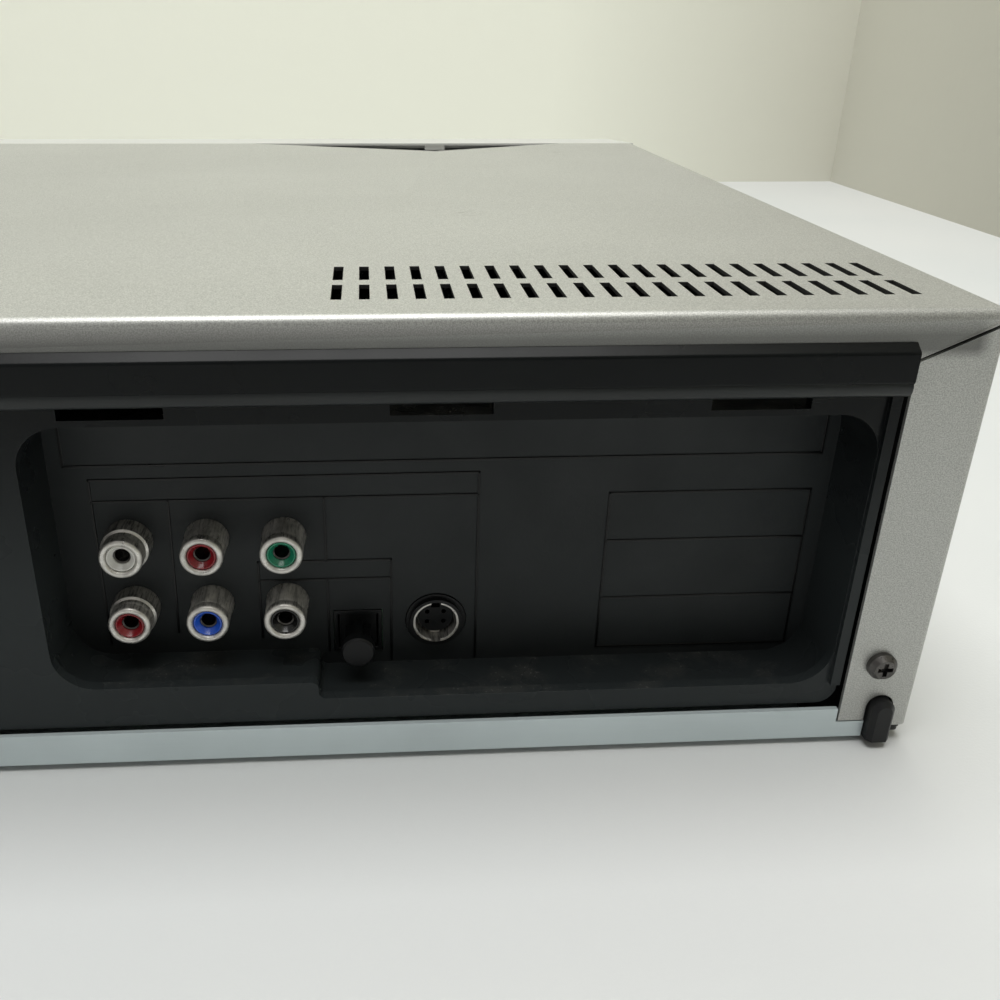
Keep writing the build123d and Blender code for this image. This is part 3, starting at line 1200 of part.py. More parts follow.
def cassette_flap():
    w, h, t = FLAP_SIZE
    flap = block(-w / 2, w / 2, Y_FACE, Y_FACE + t, FLAP_BOTTOM, FLAP_TOP)
    flap = fillet(flap.edges().group_by(Axis.Y)[0].filter_by(Axis.X), 0.6)
    axis_y, axis_z = FLAP_AXIS
    for side in (-1, 1):
        end = w / 2
        x0, x1 = side * (end - 3), side * end
        flap += block(x0, x1, Y_FACE + t - 0.5, axis_y, axis_z - 2, axis_z + 2)
        flap += along_x(axis_y, axis_z, x0, x1, 2)
        flap += along_x(axis_y, axis_z, side * (end - 1), side * (end + 1.8), FLAP_PIN)
    return Pos(DECK_X, 0, 0) * flap


def jack_door():
    w, h, t = JACK_DOOR
    door = block(-w / 2, w / 2, Y_FACE, Y_FACE + t, DOOR_AXIS[1], DOOR_BOTTOM + h)
    door += along_x(*DOOR_AXIS, -w / 2, w / 2, t / 2)
    door += along_x(*DOOR_AXIS, -w / 2 - 1.3, w / 2 + 1.3, DOOR_PIN)
    return Pos(JACK_DOOR_X, 0, 0) * door


def square_key(name):
    x, z, w, h = KEYS[name]
    cap = block(-w / 2, w / 2, Y_FACE - KEY_PROUD, Y_FACE + FASCIA_WALL + 0.5, -h / 2, h / 2)
    cap = chamfer(cap.edges().group_by(Axis.Y)[0], 0.4)
    flange_y = Y_FACE + FASCIA_WALL + 0.4
    cap += block(-w / 2 - 1, w / 2 + 1, flange_y, flange_y + 1.2, -h / 2 - 1, h / 2 + 1)
    cap += along_y(0, 0, flange_y, Y_BOARD - 1.6 - KEY_TRAVEL - 0.15, 1.5)
    return Pos(x, 0, z) * cap


def power_button():
    x, z, radius = POWER_KEY
    cap = along_y(0, 0, Y_FACE - KEY_PROUD, Y_FACE + FASCIA_WALL + 0.5, radius)
    cap = chamfer(cap.edges().group_by(Axis.Y)[0], 0.4)
    flange_y = Y_FACE + FASCIA_WALL + 0.4
    cap += along_y(0, 0, flange_y, flange_y + 1.2, radius + 1)
    cap += along_y(0, 0, flange_y, Y_BOARD - 1.6 - KEY_TRAVEL - 0.15, 1.5)
    return Pos(x, 0, z) * cap


def dvd_skip_rocker():
    x, z, w, h = ROCKER
    cap = block(-w / 2, w / 2, Y_FACE - KEY_PROUD, Y_FACE + FASCIA_WALL + 0.5, -h / 2, h / 2)
    cap = chamfer(cap.edges().group_by(Axis.Y)[0], 0.4)
    flange_y = Y_FACE + FASCIA_WALL + 1.0
    cap += block(-w / 2, w / 2, Y_FACE + FASCIA_WALL, flange_y + 1.2, -h / 2, h / 2)
    for side in (-1, 1):
        cap += along_y(side * 11, 0, flange_y, Y_BOARD - 1.6 - KEY_TRAVEL - 0.3, 1.2)
    cap += along_y(0, 0, flange_y, Y_BOARD - 0.3, 1.5)
    return Pos(x, 0, z) * cap


# ---------------------------------------------------------------- all pieces
PIECES = {
    "top_cover": top_cover,
    "bottom_plate": bottom_plate,
    "side_rails": side_rails,
    "rear_panel": rear_panel,
    "jack_bays": jack_bays,
    "front_panel": front_panel,
    "display_window": display_window,
    "rubber_feet": rubber_feet,
    "cover_screws": cover_screws,
    "rca_shells": rca_shells,
    "rca_inserts_white": lambda: rca_inserts("white"),
    "rca_inserts_red": lambda: rca_inserts("red"),
    "rca_inserts_yellow": lambda: rca_inserts("yellow"),
    "rca_insert_green": lambda: rca_inserts("green"),
    "rca_insert_blue": lambda: rca_inserts("blue"),
    "rca_insert_black": lambda: rca_inserts("black"),
    "svideo_socket": svideo_socket,
    "optical_socket": optical_socket,
    "optical_cap": optical_cap,
    "antenna_connectors": antenna_connectors,
    "mains_inlet": mains_inlet,
    "jack_board": jack_board,
    "power_board": power_board,
    "transformer": transformer,
    "heat_sink": heat_sink,
    "main_board": main_board,
    "display_board": display_board,
    "loader_frame": loader_frame,
    "disc_tray": disc_tray,
    "tray_front": tray_front,
    "loading_gear": loading_gear,
    "loading_motor": loading_motor,
    "traverse_deck": traverse_deck,
    "turntable": turntable,
    "pickup": pickup,
    "sled_gear": sled_gear,
    "clamper_bridge": clamper_bridge,
    "clamper": clamper,
    "deck_chassis": deck_chassis,
    "carriage_plates": carriage_plates,
    "carriage_slider": carriage_slider,
    "cassette_basket": cassette_basket,
    "lower_drum": lower_drum,
    "upper_drum": upper_drum,
    "capstan": capstan,
    "pinch_lever": pinch_lever,
    "supply_reel": lambda: reel(-1),
    "takeup_reel": lambda: reel(1),
    "tape_guides": tape_guides,
    "cassette_flap": cassette_flap,
    "jack_door": jack_door,
    "power_button": power_button,
    "dvd_skip_rocker": dvd_skip_rocker,
}
for key_name in KEYS:
    PIECES[key_name] = lambda key_name=key_name: square_key(key_name)

os.makedirs("parts", exist_ok=True)
for node, make in PIECES.items():
    export_step(make(), f"parts/{node}.step")
print(len(PIECES), "nodes")
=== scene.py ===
import json
import math

import bmesh
import bpy
from mathutils import Matrix, Vector


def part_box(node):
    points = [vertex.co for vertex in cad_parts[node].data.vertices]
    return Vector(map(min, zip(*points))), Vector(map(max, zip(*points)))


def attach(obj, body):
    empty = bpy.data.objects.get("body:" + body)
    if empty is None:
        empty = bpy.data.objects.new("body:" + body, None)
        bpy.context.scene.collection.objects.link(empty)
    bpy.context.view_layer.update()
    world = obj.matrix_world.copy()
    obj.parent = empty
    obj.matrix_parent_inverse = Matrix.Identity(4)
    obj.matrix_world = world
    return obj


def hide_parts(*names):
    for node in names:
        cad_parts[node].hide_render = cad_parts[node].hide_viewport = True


# Disc and cassette combination player, seen from behind at its left rear corner.
# Lengths are in metres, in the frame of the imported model: +Y is the rear, +Z is up.

MM = 0.001
RING_RADIUS = 4.15 * MM
RING_BORE = 2.85 * MM
RING_ROOT = 4.35 * MM
RING_PROUD = 7.5 * MM
RING_DEPTH = 8.9 * MM
RING_PITCH = 15.1 * MM
GROOVE_DEPTH = 0.14 * MM  # turned groove near the mouth of a ring
GROOVE_ENDS = (1.5 * MM, 1.7 * MM, 2.3 * MM, 2.5 * MM)  # its corners, back from the mouth
INSERT_RADIUS = 2.8 * MM
INSERT_HOLE = 1.7 * MM
INSERT_DEPTH = 6.9 * MM
AERIAL_RADIUS = 4.75 * MM
THREAD_PITCH = 0.8 * MM
THREAD_DEPTH = 0.35 * MM
THREAD_START = 2.6 * MM
AERIAL_WALL = 1.05 * MM
AERIAL_FLOOR = 2.0 * MM
CORE_RADIUS = 2.6 * MM
CORE_EDGE = 0.3 * MM
CORE_HOLE = 0.6 * MM
COLLAR_TOP = 4.6 * MM  # wide foot of the left pair of rings
COLLAR_FOOT = 4.7 * MM
COLLAR_LENGTH = 3.8 * MM
NUT_CORNER = 6.4 * MM  # corner of the CAD nut, from its middle
NUT_RADIUS = 6.2 * MM
NUT_HEIGHT = 2.2 * MM
SVIDEO_RING = (4.25 * MM, 4.78 * MM)
SVIDEO_RING_DEPTH = 6.5 * MM
SHEET = 0.8 * MM  # of the top cover
PANEL_PROUD = 3.7 * MM  # the hood stands out of the panel's face
PANEL_WALL = 2.2 * MM
HOOD_BOTTOM = 13.8 * MM  # under the top of the cover
LIP_HALF_HEIGHT = 1.7 * MM
LIP_HALF_DEPTH = 1.1 * MM
LIP_RISE = 0.3 * MM  # middle of the lip, over the hood's lower edge
EDGE_SLIP = 0.02 * MM  # the lip stays inside the hood's foremost face
LINE_WIDTH = 0.45 * MM
LINE_HEIGHT = 0.22 * MM

# (x, z) ends of the moulded lines on the jack wall, in millimetres
WALL_LINES = (
    ((-51.9, 18.5), (-51.9, 55.8), (-126.7, 56.0), (-127.0, 12.5)),
    ((-51.9, 51.2), (-126.7, 51.2)),
    ((-66.4, 51.2), (-65.8, 20.8)),
    ((-96.4, 51.2), (-96.4, 36.9)),
    ((-82.8, 19.0), (-82.8, 36.9), (-109.4, 36.9), (-109.4, 12.5)),
    ((-82.8, 32.6), (-109.4, 32.6)),
    ((-96.5, 32.6), (-96.5, 15.2)),
    ((-152.9, 14.2), (-152.9, 50.8), (-193.6, 50.8), (-193.9, 14.0), (-152.9, 14.2)),
    ((-152.9, 40.0), (-193.7, 40.0)),
    ((-152.9, 26.4), (-193.8, 26.4)),
    ((-47.6, 68.0), (-47.6, 58.8), (-194.4, 58.8), (-194.4, 68.0)),
)

CASING_ROUNDS = {
    "bottom_plate": 0.20 * MM,
    "side_rails": 0.30 * MM,
    "front_panel": 0.30 * MM,
    "mains_inlet": 0.25 * MM,
    "optical_socket": 0.15 * MM,
    "optical_cap": 0.25 * MM,
    "cover_screws": 0.22 * MM,
    "display_window": 0.20 * MM,
    "rubber_feet": 0.40 * MM,
}
FRONT_ROUNDS = {
    "disc_tray": 0.30 * MM,
    "tray_front": 0.30 * MM,
    "cassette_flap": 0.30 * MM,
    "jack_door": 0.25 * MM,
    "clamper_bridge": 0.15 * MM,
    "turntable": 0.20 * MM,
    "clamper": 0.20 * MM,
    "cassette_basket": 0.15 * MM,
}
KEY_NODES = (
    "power_button",
    "dvd_skip_rocker",
    "open_close_button",
    "dvd_play_button",
    "dvd_stop_button",
    "vcr_stop_eject_button",
    "vcr_play_button",
    "vcr_rewind_button",
    "vcr_forward_button",
)
MARK_DEPTH = 0.1 * MM
MARK_RISE = 3.4 * MM  # over the top of a key
ARROW_SIZE = 1.5 * MM
ARROW_STEP = 1.25 * MM
BAR_WIDTH = 0.5 * MM
BAR_LENGTH = 2.6 * MM
SQUARE_SIDE = 2.3 * MM
SIGN_ASIDE = 2.6 * MM  # stop and eject signs stand on either side of the key's middle
POWER_RADIUS = 1.4 * MM
POWER_DOT = 0.42 * MM

# Camera that was fitted to the photograph
PHOTO_SIZE = 1000
CAMERA_PLACE = Vector((-0.105237, 0.276513, 0.135724))
CAMERA_YAW = 0.058997
CAMERA_PITCH = 0.400296
CAMERA_ROLL = -0.006251
FOCAL_PIXELS = 935.13
VIEW_CENTRE = (418.82, 421.94)

# Walls of the room behind the object
BACK_WALL = -0.622
SIDE_WALL = -0.555

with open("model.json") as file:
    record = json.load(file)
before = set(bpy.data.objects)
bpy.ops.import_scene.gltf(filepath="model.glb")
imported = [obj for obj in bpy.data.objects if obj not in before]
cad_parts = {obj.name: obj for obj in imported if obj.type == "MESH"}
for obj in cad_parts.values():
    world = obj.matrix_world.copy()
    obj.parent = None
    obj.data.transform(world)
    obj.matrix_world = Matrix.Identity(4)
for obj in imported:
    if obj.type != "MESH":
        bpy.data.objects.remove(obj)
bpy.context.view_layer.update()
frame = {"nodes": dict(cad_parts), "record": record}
nodes = frame["nodes"]
mounts = {mount["name"]: mount for mount in frame["record"]["mounts"]}

BODY_OF = {}
for body, members in frame["record"]["behaviour"]["bodies"].items():
    for member in members:
        BODY_OF[member] = body

cover_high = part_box("top_cover")[1]
panel_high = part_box("rear_panel")[1]
rings_low, rings_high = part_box("rca_shells")
SHARP_ANGLE = math.radians(32)
FLAT_ANGLE = math.radians(0.5)
RING_MOUTH = rings_high.y
JACK_WALL = RING_MOUTH - RING_PROUD


# ---------------------------------------------------------------- finishes
def new_finish(name, colour, roughness, metallic=0.0, coat=0.0, specular=0.5):
    """A Principled material with its constant values set on the shader itself."""
    material = bpy.data.materials.new(name)
    material.use_nodes = True
    shader = material.node_tree.nodes["Principled BSDF"]
    shader.inputs["Base Color"].default_value = (*colour, 1)
    shader.inputs["Roughness"].default_value = roughness
    shader.inputs["Metallic"].default_value = metallic
    shader.inputs["Coat Weight"].default_value = coat
    shader.inputs["Coat Roughness"].default_value = 0.08
    shader.inputs["Specular IOR Level"].default_value = specular
    material.diffuse_color = (*colour, 1)
    return material


def add_node(material, kind, **values):
    node = material.node_tree.nodes.new(kind)
    for name, value in values.items():
        setattr(node, name, value)
    return node


def join(material, source, target):
    material.node_tree.links.new(source, target)


def shader_of(material):
    return material.node_tree.nodes["Principled BSDF"]


def place_on(material, stretch=(1, 1, 1)):
    """Object coordinates, stretched so that a pattern runs along one way."""
    coordinates = add_node(material, "ShaderNodeTexCoord")
    mapping = add_node(material, "ShaderNodeMapping")
    mapping.inputs["Scale"].default_value = stretch
    join(material, coordinates.outputs["Object"], mapping.inputs["Vector"])
    return mapping.outputs["Vector"]


def noise(material, scale, detail=2.0, stretch=(1, 1, 1), rough=0.5):
    node = add_node(material, "ShaderNodeTexNoise")
    node.inputs["Scale"].default_value = scale
    node.inputs["Detail"].default_value = detail
    node.inputs["Roughness"].default_value = rough
    join(material, place_on(material, stretch), node.inputs["Vector"])
    return node.outputs["Fac"]


def spread(material, value, low, high, to_low=0.0, to_high=1.0):
    """Maps low…high of a value onto another range, held at both ends."""
    node = add_node(material, "ShaderNodeMapRange", clamp=True)
    for socket, number in zip(("From Min", "From Max", "To Min", "To Max"), (low, high, to_low, to_high)):
        node.inputs[socket].default_value = number
    join(material, value, node.inputs["Value"])
    return node.outputs["Result"]


def times(material, first, second, operation="MULTIPLY"):
    """Product of two values, or what another operation makes of them."""
    node = add_node(material, "ShaderNodeMath", operation=operation)
    for socket, value in zip(node.inputs, (first, second)):
        if isinstance(value, (int, float)):
            socket.default_value = value
        else:
            join(material, value, socket)
    return node.outputs[0]


def blend_colours(material, factor, first, second):
    node = add_node(material, "ShaderNodeMix", data_type="RGBA")
    join(material, factor, node.inputs["Factor"])
    colour_sockets = [socket for socket in node.inputs if socket.type == "RGBA"]
    for socket, value in zip(colour_sockets, (first, second)):
        if isinstance(value, tuple):
            socket.default_value = (*value, 1)
        else:
            join(material, value, socket)
    return [socket for socket in node.outputs if socket.type == "RGBA"][0]


def colour_from(material, colour):
    join(material, colour, shader_of(material).inputs["Base Color"])


def roughness_from(material, value):
    join(material, value, shader_of(material).inputs["Roughness"])


def relief(material, height, strength, depth):
    node = add_node(material, "ShaderNodeBump")
    node.inputs["Strength"].default_value = strength
    node.inputs["Distance"].default_value = depth
    join(material, height, node.inputs["Height"])
    join(material, node.outputs["Normal"], shader_of(material).inputs["Normal"])


def part_of_normal(material, axis):
    """How much of a face's direction is along one axis, from -1 to 1."""
    geometry = add_node(material, "ShaderNodeNewGeometry")
    split = add_node(material, "ShaderNodeSeparateXYZ")
    join(material, geometry.outputs["Normal"], split.inputs["Vector"])
    return split.outputs[axis]


def facing_up(material):
    """1 on faces that look up, 0 on the rest."""
    return spread(material, part_of_normal(material, "Z"), 0.90, 0.98)


def part_of_place(material, axis):
    """One of the three object coordinates, in metres."""
    split = add_node(material, "ShaderNodeSeparateXYZ")
    join(material, place_on(material), split.inputs["Vector"])
    return split.outputs[axis]


def sideways(material):
    """1 on faces that look across the sockets' axis, 0 on their mouths."""
    along = part_of_normal(material, "Y")
    return spread(material, times(material, along, along), 0.02, 0.20, 0.85, 0)


def tinted(colour, factor):
    return tuple(min(1.0, channel * factor) for channel in colour)


# lighter tone for the painted shade on the rear panel: laid low down, away from the hood
SHADE_FILM_TONE = (0.040, 0.047, 0.049)
SHADE_FILM_TOP = 74 * MM  # painted shade under the hood: the panel's lighter tone low down fades out at this height
SHADE_FILM_BOTTOM = 40 * MM
SCUFFS = ((Vector((-0.1319, 0.0392, 0.0923)), 5 * MM), (Vector((-0.1774, -0.0848, 0.0923)), 4 * MM))


def scuff(material, place, reach):
    """A small worn mark round one place: broken streaks that fade out."""
    gap = add_node(material, "ShaderNodeVectorMath", operation="DISTANCE")
    join(material, place_on(material), gap.inputs[0])
    gap.inputs[1].default_value = place
    near = spread(material, gap.outputs["Value"], 0.4 * reach, reach, 1, 0)
    streaks = spread(material, noise(material, 700, 2.0, (1, 2, 1)), 0.52, 0.60)
    return times(material, times(material, near, streaks), 0.6)


HOOD_SHADE_ENDS = (210 * MM, 212.5 * MM)  # from the middle, where the painted shade over the hood fades out
HOOD_SHADE_DEPTH = (1.0 * MM, 0.2 * MM)  # in from the rear face of the cover
HOOD_SHADE_START = (0.5 * MM, 4.5 * MM)  # under the top of the cover, where it grows
HOOD_SHADE_STOP = (9 * MM, 7 * MM)  # under the top of the cover, where it ends


def hood_painted_shade(material):
    """Painted shade on the cover's rear flange, darkening it where the hood stands close under it."""
    across, back, height = (part_of_place(material, axis) for axis in "XYZ")
    width = spread(material, times(material, across, 0, "ABSOLUTE"), *HOOD_SHADE_ENDS, 1, 0)
    on_flange = spread(material, back, *(cover_high.y - inward for inward in HOOD_SHADE_DEPTH))
    low = spread(material, height, *(cover_high.z - under for under in HOOD_SHADE_START))
    above_hood = spread(material, height, *(cover_high.z - under for under in HOOD_SHADE_STOP))
    band = times(material, low, above_hood)
    return times(material, times(material, width, on_flange), times(material, band, 0.85))


def cover_paint():
    """Warm grey metal-flake paint with wipe marks, two small scuffs and a painted shade on the rear flange
    above the hood.
    """
    colour = (0.446, 0.450, 0.432)
    paint = new_finish("cover_paint", colour, 0.42, metallic=0.65)
    flakes = spread(paint, noise(paint, 4200, 1.0), 0.36, 0.64)
    clouds = spread(paint, noise(paint, 14, 3.0), 0.35, 0.65)
    dark = blend_colours(paint, clouds, tinted(colour, 0.76), tinted(colour, 0.81))
    light = blend_colours(paint, clouds, tinted(colour, 1.15), tinted(colour, 1.21))
    tone = blend_colours(paint, flakes, dark, light)
    for place, reach in SCUFFS:
        tone = blend_colours(paint, scuff(paint, place, reach), tone, tinted(colour, 0.55))
    # painted shade: the rear flange darkens towards the hood below it
    colour_from(paint, blend_colours(paint, hood_painted_shade(paint), tone, tinted(colour, 0.30)))
    roughness_from(paint, spread(paint, noise(paint, 22, 4.0, (1, 2, 1)), 0.3, 0.7, 0.41, 0.45))
    relief(paint, flakes, 0.05, 0.02 * MM)
    return paint


def moulded(name, colour, roughness, grain=1500, dust_and_shade=0.0, depth=0.04, specular=0.25, mottle=0.2):
    """Moulded plastic with a fine spark-eroded grain and, on ledges, some dust; with dust it also gets a
    painted shade, lighter low down and darker up towards the hood.
    """
    plastic = new_finish(name, colour, roughness, specular=specular)
    pores = noise(plastic, grain, 2.0)
    relief(plastic, pores, 0.35, depth * MM)
    handled = spread(plastic, noise(plastic, 40, 4.0), 0.35, 0.7)
    tone = blend_colours(plastic, handled, tinted(colour, 1 - mottle), tinted(colour, 1 + mottle))
    uneven = noise(plastic, 55, 3.0)
    roughness_from(plastic, spread(plastic, uneven, 0.3, 0.7, roughness * 0.9, roughness * (1 + mottle)))
    if dust_and_shade:
        # painted shade: lighter tone low down, darkening upwards towards the hood
        shade_film = spread(plastic, part_of_place(plastic, "Z"), SHADE_FILM_TOP, SHADE_FILM_BOTTOM, 0, 0.6)
        tone = blend_colours(plastic, shade_film, tone, SHADE_FILM_TONE)
        smears = spread(plastic, noise(plastic, 85, 5.0, rough=0.65), 0.50, 0.72)
        specks = spread(plastic, noise(plastic, 1700, 1.0), 0.66, 0.72)
        lying = facing_up(plastic)
        settled = times(plastic, times(plastic, smears, lying), dust_and_shade)
        tone = blend_colours(plastic, settled, tone, (0.075, 0.075, 0.07))
        loose = times(plastic, times(plastic, specks, smears), lying)
        tone = blend_colours(plastic, times(plastic, loose, dust_and_shade), tone, (0.26, 0.26, 0.24))
    colour_from(plastic, tone)
    return plastic


def brushed(name, colour, roughness, along="X", metallic=0.8):
    """Sheet metal with faint drawing lines along one axis."""
    sheet = new_finish(name, colour, roughness, metallic=metallic)
    stretch = {"X": (0.02, 1, 1), "Y": (1, 0.02, 1), "Z": (1, 1, 0.02)}[along]
    lines = noise(sheet, 1800, 2.0, stretch)
    clouds = spread(sheet, noise(sheet, 30, 3.0), 0.3, 0.7)
    colour_from(sheet, blend_colours(sheet, clouds, tinted(colour, 0.9), tinted(colour, 1.06)))
    roughness_from(sheet, spread(sheet, lines, 0.3, 0.7, roughness * 0.8, roughness * 1.25))
    relief(sheet, lines, 0.12, 0.02 * MM)
    return sheet


def plated(name, colour, roughness, scratch=1.0, metallic=1.0):
    """Plated metal with fine scratches and dull spots."""
    metal = new_finish(name, colour, roughness, metallic=metallic)
    scratches = noise(metal, 1400, 3.0, (1, 0.12, 1))
    spots = spread(metal, noise(metal, 420, 3.0), 0.45, 0.7)
    tone = blend_colours(metal, spots, colour, tinted(colour, 0.70))
    if scratch > 1:
        worn = spread(metal, noise(metal, 1900, 4.0, (1, 0.10, 1), rough=0.7), 0.47, 0.60)
        tone = blend_colours(metal, times(metal, worn, sideways(metal)), tone, tinted(colour, 0.20))
    colour_from(metal, tone)
    roughness_from(metal, spread(metal, scratches, 0.3, 0.7, roughness * 0.7, roughness * 1.6))
    relief(metal, scratches, 0.25 * scratch, 0.04 * MM)
    return metal


def glossy(name, colour, roughness=0.2):
    """Smooth coloured moulding with slight flow marks."""
    plastic = new_finish(name, colour, roughness, coat=0.15)
    flow = spread(plastic, noise(plastic, 260, 2.0), 0.3, 0.7)
    colour_from(plastic, blend_colours(plastic, flow, tinted(colour, 0.86), tinted(colour, 1.08)))
    relief(plastic, noise(plastic, 500, 2.0), 0.08, 0.03 * MM)
    return plastic


def circuit_board():
    """Green lacquer over copper tracks."""
    colour = (0.03, 0.12, 0.05)
    board = new_finish("board", colour, 0.35)
    bricks = add_node(board, "ShaderNodeTexBrick")
    bricks.inputs["Scale"].default_value = 90
    bricks.inputs["Mortar Size"].default_value = 0.06
    bricks.inputs["Color1"].default_value = (*tinted(colour, 1.0), 1)
    bricks.inputs["Color2"].default_value = (*tinted(colour, 1.25), 1)
    bricks.inputs["Mortar"].default_value = (*tinted(colour, 2.2), 1)
    join(board, place_on(board), bricks.inputs["Vector"])
    colour_from(board, bricks.outputs["Color"])
    relief(board, bricks.outputs["Fac"], 0.3, 0.05 * MM)
    return board


COVER = cover_paint()
STRIP = brushed("zinc_steel", (0.62, 0.70, 0.72), 0.42, "X", metallic=0.35)
# its dust setting also brings the painted shade under the hood
MOULDING = moulded("black_moulding", (0.0030, 0.0040, 0.0044), 0.27, dust_and_shade=0.5, specular=0.15)
# painted highlight: a lighter, glossier black for the rounded rims of the rear panel, so that they glint
HIGHLIGHT_EDGE = moulded("highlight_moulding_edge", (0.046, 0.049, 0.050), 0.22, specular=0.8)
# painted light: a lighter copy of the black moulding for the hood's lower lip
LIP_PAINTED_LIGHT = moulded("hood_lip_painted_light", (0.012, 0.0145, 0.015), 0.30, specular=0.35)
JACK_FACE = moulded("jack_wall_plastic", (0.018, 0.021, 0.022), 0.50, grain=2200, depth=0.06)
RAIL = moulded("rail_plastic", (0.010, 0.0105, 0.011), 0.40)
SOCKET_PLASTIC = moulded("socket_plastic", (0.0055, 0.006, 0.0065), 0.33)
LOADER_PLASTIC = moulded("loader_plastic", (0.025, 0.025, 0.028), 0.45)
TRAY_PLASTIC = moulded("tray_plastic", (0.035, 0.035, 0.038), 0.42, dust_and_shade=0.1)
GEAR_PLASTIC = moulded("gear_plastic", (0.72, 0.70, 0.62), 0.38, specular=0.5, mottle=0.03)
RUBBER = moulded("foot_rubber", (0.02, 0.02, 0.02), 0.8, grain=900)
FASCIA = moulded(
    "fascia_silver", (0.54, 0.545, 0.53), 0.34, grain=2600, depth=0.012, specular=0.5, mottle=0.02
)
KEY = brushed("key_silver", (0.66, 0.66, 0.65), 0.24, "X", metallic=0.85)
WINDOW = glossy("window_smoke", (0.006, 0.006, 0.008), 0.08)
DARK_NICKEL = plated("screw_nickel", (0.115, 0.11, 0.105), 0.34)
NICKEL = plated("socket_nickel", (0.68, 0.66, 0.62), 0.36, scratch=1.6, metallic=0.8)
STEEL = brushed("deck_steel", (0.55, 0.55, 0.53), 0.34, "Y", metallic=0.9)
MOTOR_METAL = brushed("motor_metal", (0.50, 0.50, 0.50), 0.30, "Z", metallic=0.9)
DRUM_METAL = brushed("drum_metal", (0.72, 0.72, 0.72), 0.18, "Z", metallic=1.0)
BEARING = plated("bearing_metal", (0.60, 0.60, 0.60), 0.16)
SINK = brushed("sink_metal", (0.62, 0.62, 0.64), 0.36, "Z", metallic=0.9)
WINDING = moulded("copper_winding", (0.50, 0.36, 0.09), 0.5, grain=1200, specular=0.5, mottle=0.05)
BOARD = circuit_board()
WHITE_INSERT = glossy("white_insert", (0.78, 0.77, 0.73), 0.3)
RED_INSERT = glossy("red_insert", (0.24, 0.008, 0.014))
YELLOW_INSERT = glossy("yellow_insert", (0.72, 0.48, 0.03))
GREEN_INSERT = glossy("green_insert", (0.012, 0.22, 0.12))
BLUE_INSERT = glossy("blue_insert", (0.015, 0.10, 0.60))
BLACK_INSERT = glossy("black_insert", (0.004, 0.004, 0.004))
# painted shade: the raised lines are near black, far darker than the jack wall, standing in for the shade in
# engraved lines
LINE_SHADE_PLASTIC = moulded("jack_line_shade_plastic", (0.0012, 0.0014, 0.0015), 0.3, specular=0.3)
# painted shade: dark grey for the inside of the cover and the walls of its vents
INSIDE_SHADE = new_finish("cover_inside_shade", (0.035, 0.035, 0.034), 0.6, metallic=0.3)
MARKING = new_finish("key_marking", (0.05, 0.05, 0.055), 0.5)

FINISHES = {
    "cover_paint": COVER,
    "zinc_steel": STRIP,
    "black_moulding": MOULDING,
    "rail_plastic": RAIL,
    "fascia_silver": FASCIA,
    "window_smoke": WINDOW,
    "foot_rubber": RUBBER,
    "screw_nickel": DARK_NICKEL,
    "socket_nickel": NICKEL,
    "white_insert": WHITE_INSERT,
    "red_insert": RED_INSERT,
    "yellow_insert": YELLOW_INSERT,
    "green_insert": GREEN_INSERT,
    "blue_insert": BLUE_INSERT,
    "black_insert": BLACK_INSERT,
    "socket_plastic": SOCKET_PLASTIC,
    "board": BOARD,
    "copper_winding": WINDING,
    "sink_metal": SINK,
    "loader_plastic": LOADER_PLASTIC,
    "tray_plastic": TRAY_PLASTIC,
    "gear_plastic": GEAR_PLASTIC,
    "motor_metal": MOTOR_METAL,
    "deck_steel": STEEL,
    "drum_metal": DRUM_METAL,
    "bearing_metal": BEARING,
    "key_silver": KEY,
}
SLOT_OF = {part["node"]: part["material_slot"] for part in frame["record"]["subparts"]}
for name, node in nodes.items():
    node.data.materials.clear()
    node.data.materials.append(FINISHES[SLOT_OF[name]])


# ---------------------------------------------------------------- making pieces
def make_piece(name, shape, materials, body):
    """Turns a bmesh into a named object that rides on a body."""
    mesh = bpy.data.meshes.new(name)
    shape.to_mesh(mesh)
    shape.free()
    for material in materials:
        mesh.materials.append(material)
    piece = bpy.data.objects.new(name, mesh)
    bpy.context.scene.collection.objects.link(piece)
    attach(piece, body)
    return piece


def round_edges(piece, width, segments=2, finish=-1):
    """A small round on the edges marked for it, in one of the piece's finishes."""
    bevel = piece.modifiers.new("edges", "BEVEL")
    bevel.material = finish
    bevel.width = width
    bevel.segments = segments
    bevel.limit_method = "WEIGHT"
    bevel.harden_normals = True
    bevel.miter_outer = "MITER_ARC"


def mark_edges(shape, spare=None):
    """Marks sharp edges for rounding, except those that spare() picks out, and smooths curved faces."""
    weights = shape.edges.layers.float.new("bevel_weight_edge")
    for edge in shape.edges:
        if len(edge.link_faces) != 2:
            continue
        bend = edge.calc_face_angle()
        if bend < SHARP_ANGLE:
            if bend > FLAT_ANGLE:
                for face in edge.link_faces:
                    face.smooth = True
            continue
        edge.smooth = False
        if spare is None or not spare(edge):
            edge[weights] = 1


def merged_copy(*names):
    """The nodes' meshes with their loose triangles joined."""
    shape = bmesh.new()
    for name in names:
        shape.from_mesh(nodes[name].data)
    bmesh.ops.remove_doubles(shape, verts=shape.verts, dist=0.001 * MM)
    return shape


def refined(node, width, segments=2, others=(), material_of=None, extra=(), spare=None, edge_finish=-1):
    """Stands for a CAD node and others of its body: the same shape with rounded edges."""
    shape = merged_copy(node, *others)
    mark_edges(shape, spare)
    if material_of:
        for face in shape.faces:
            face.material_index = material_of(face)
    first = FINISHES[SLOT_OF[node]]
    piece = make_piece(f"{node}_finished", shape, (first, *extra), BODY_OF[node])
    round_edges(piece, width, segments, edge_finish)
    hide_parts(node, *others)


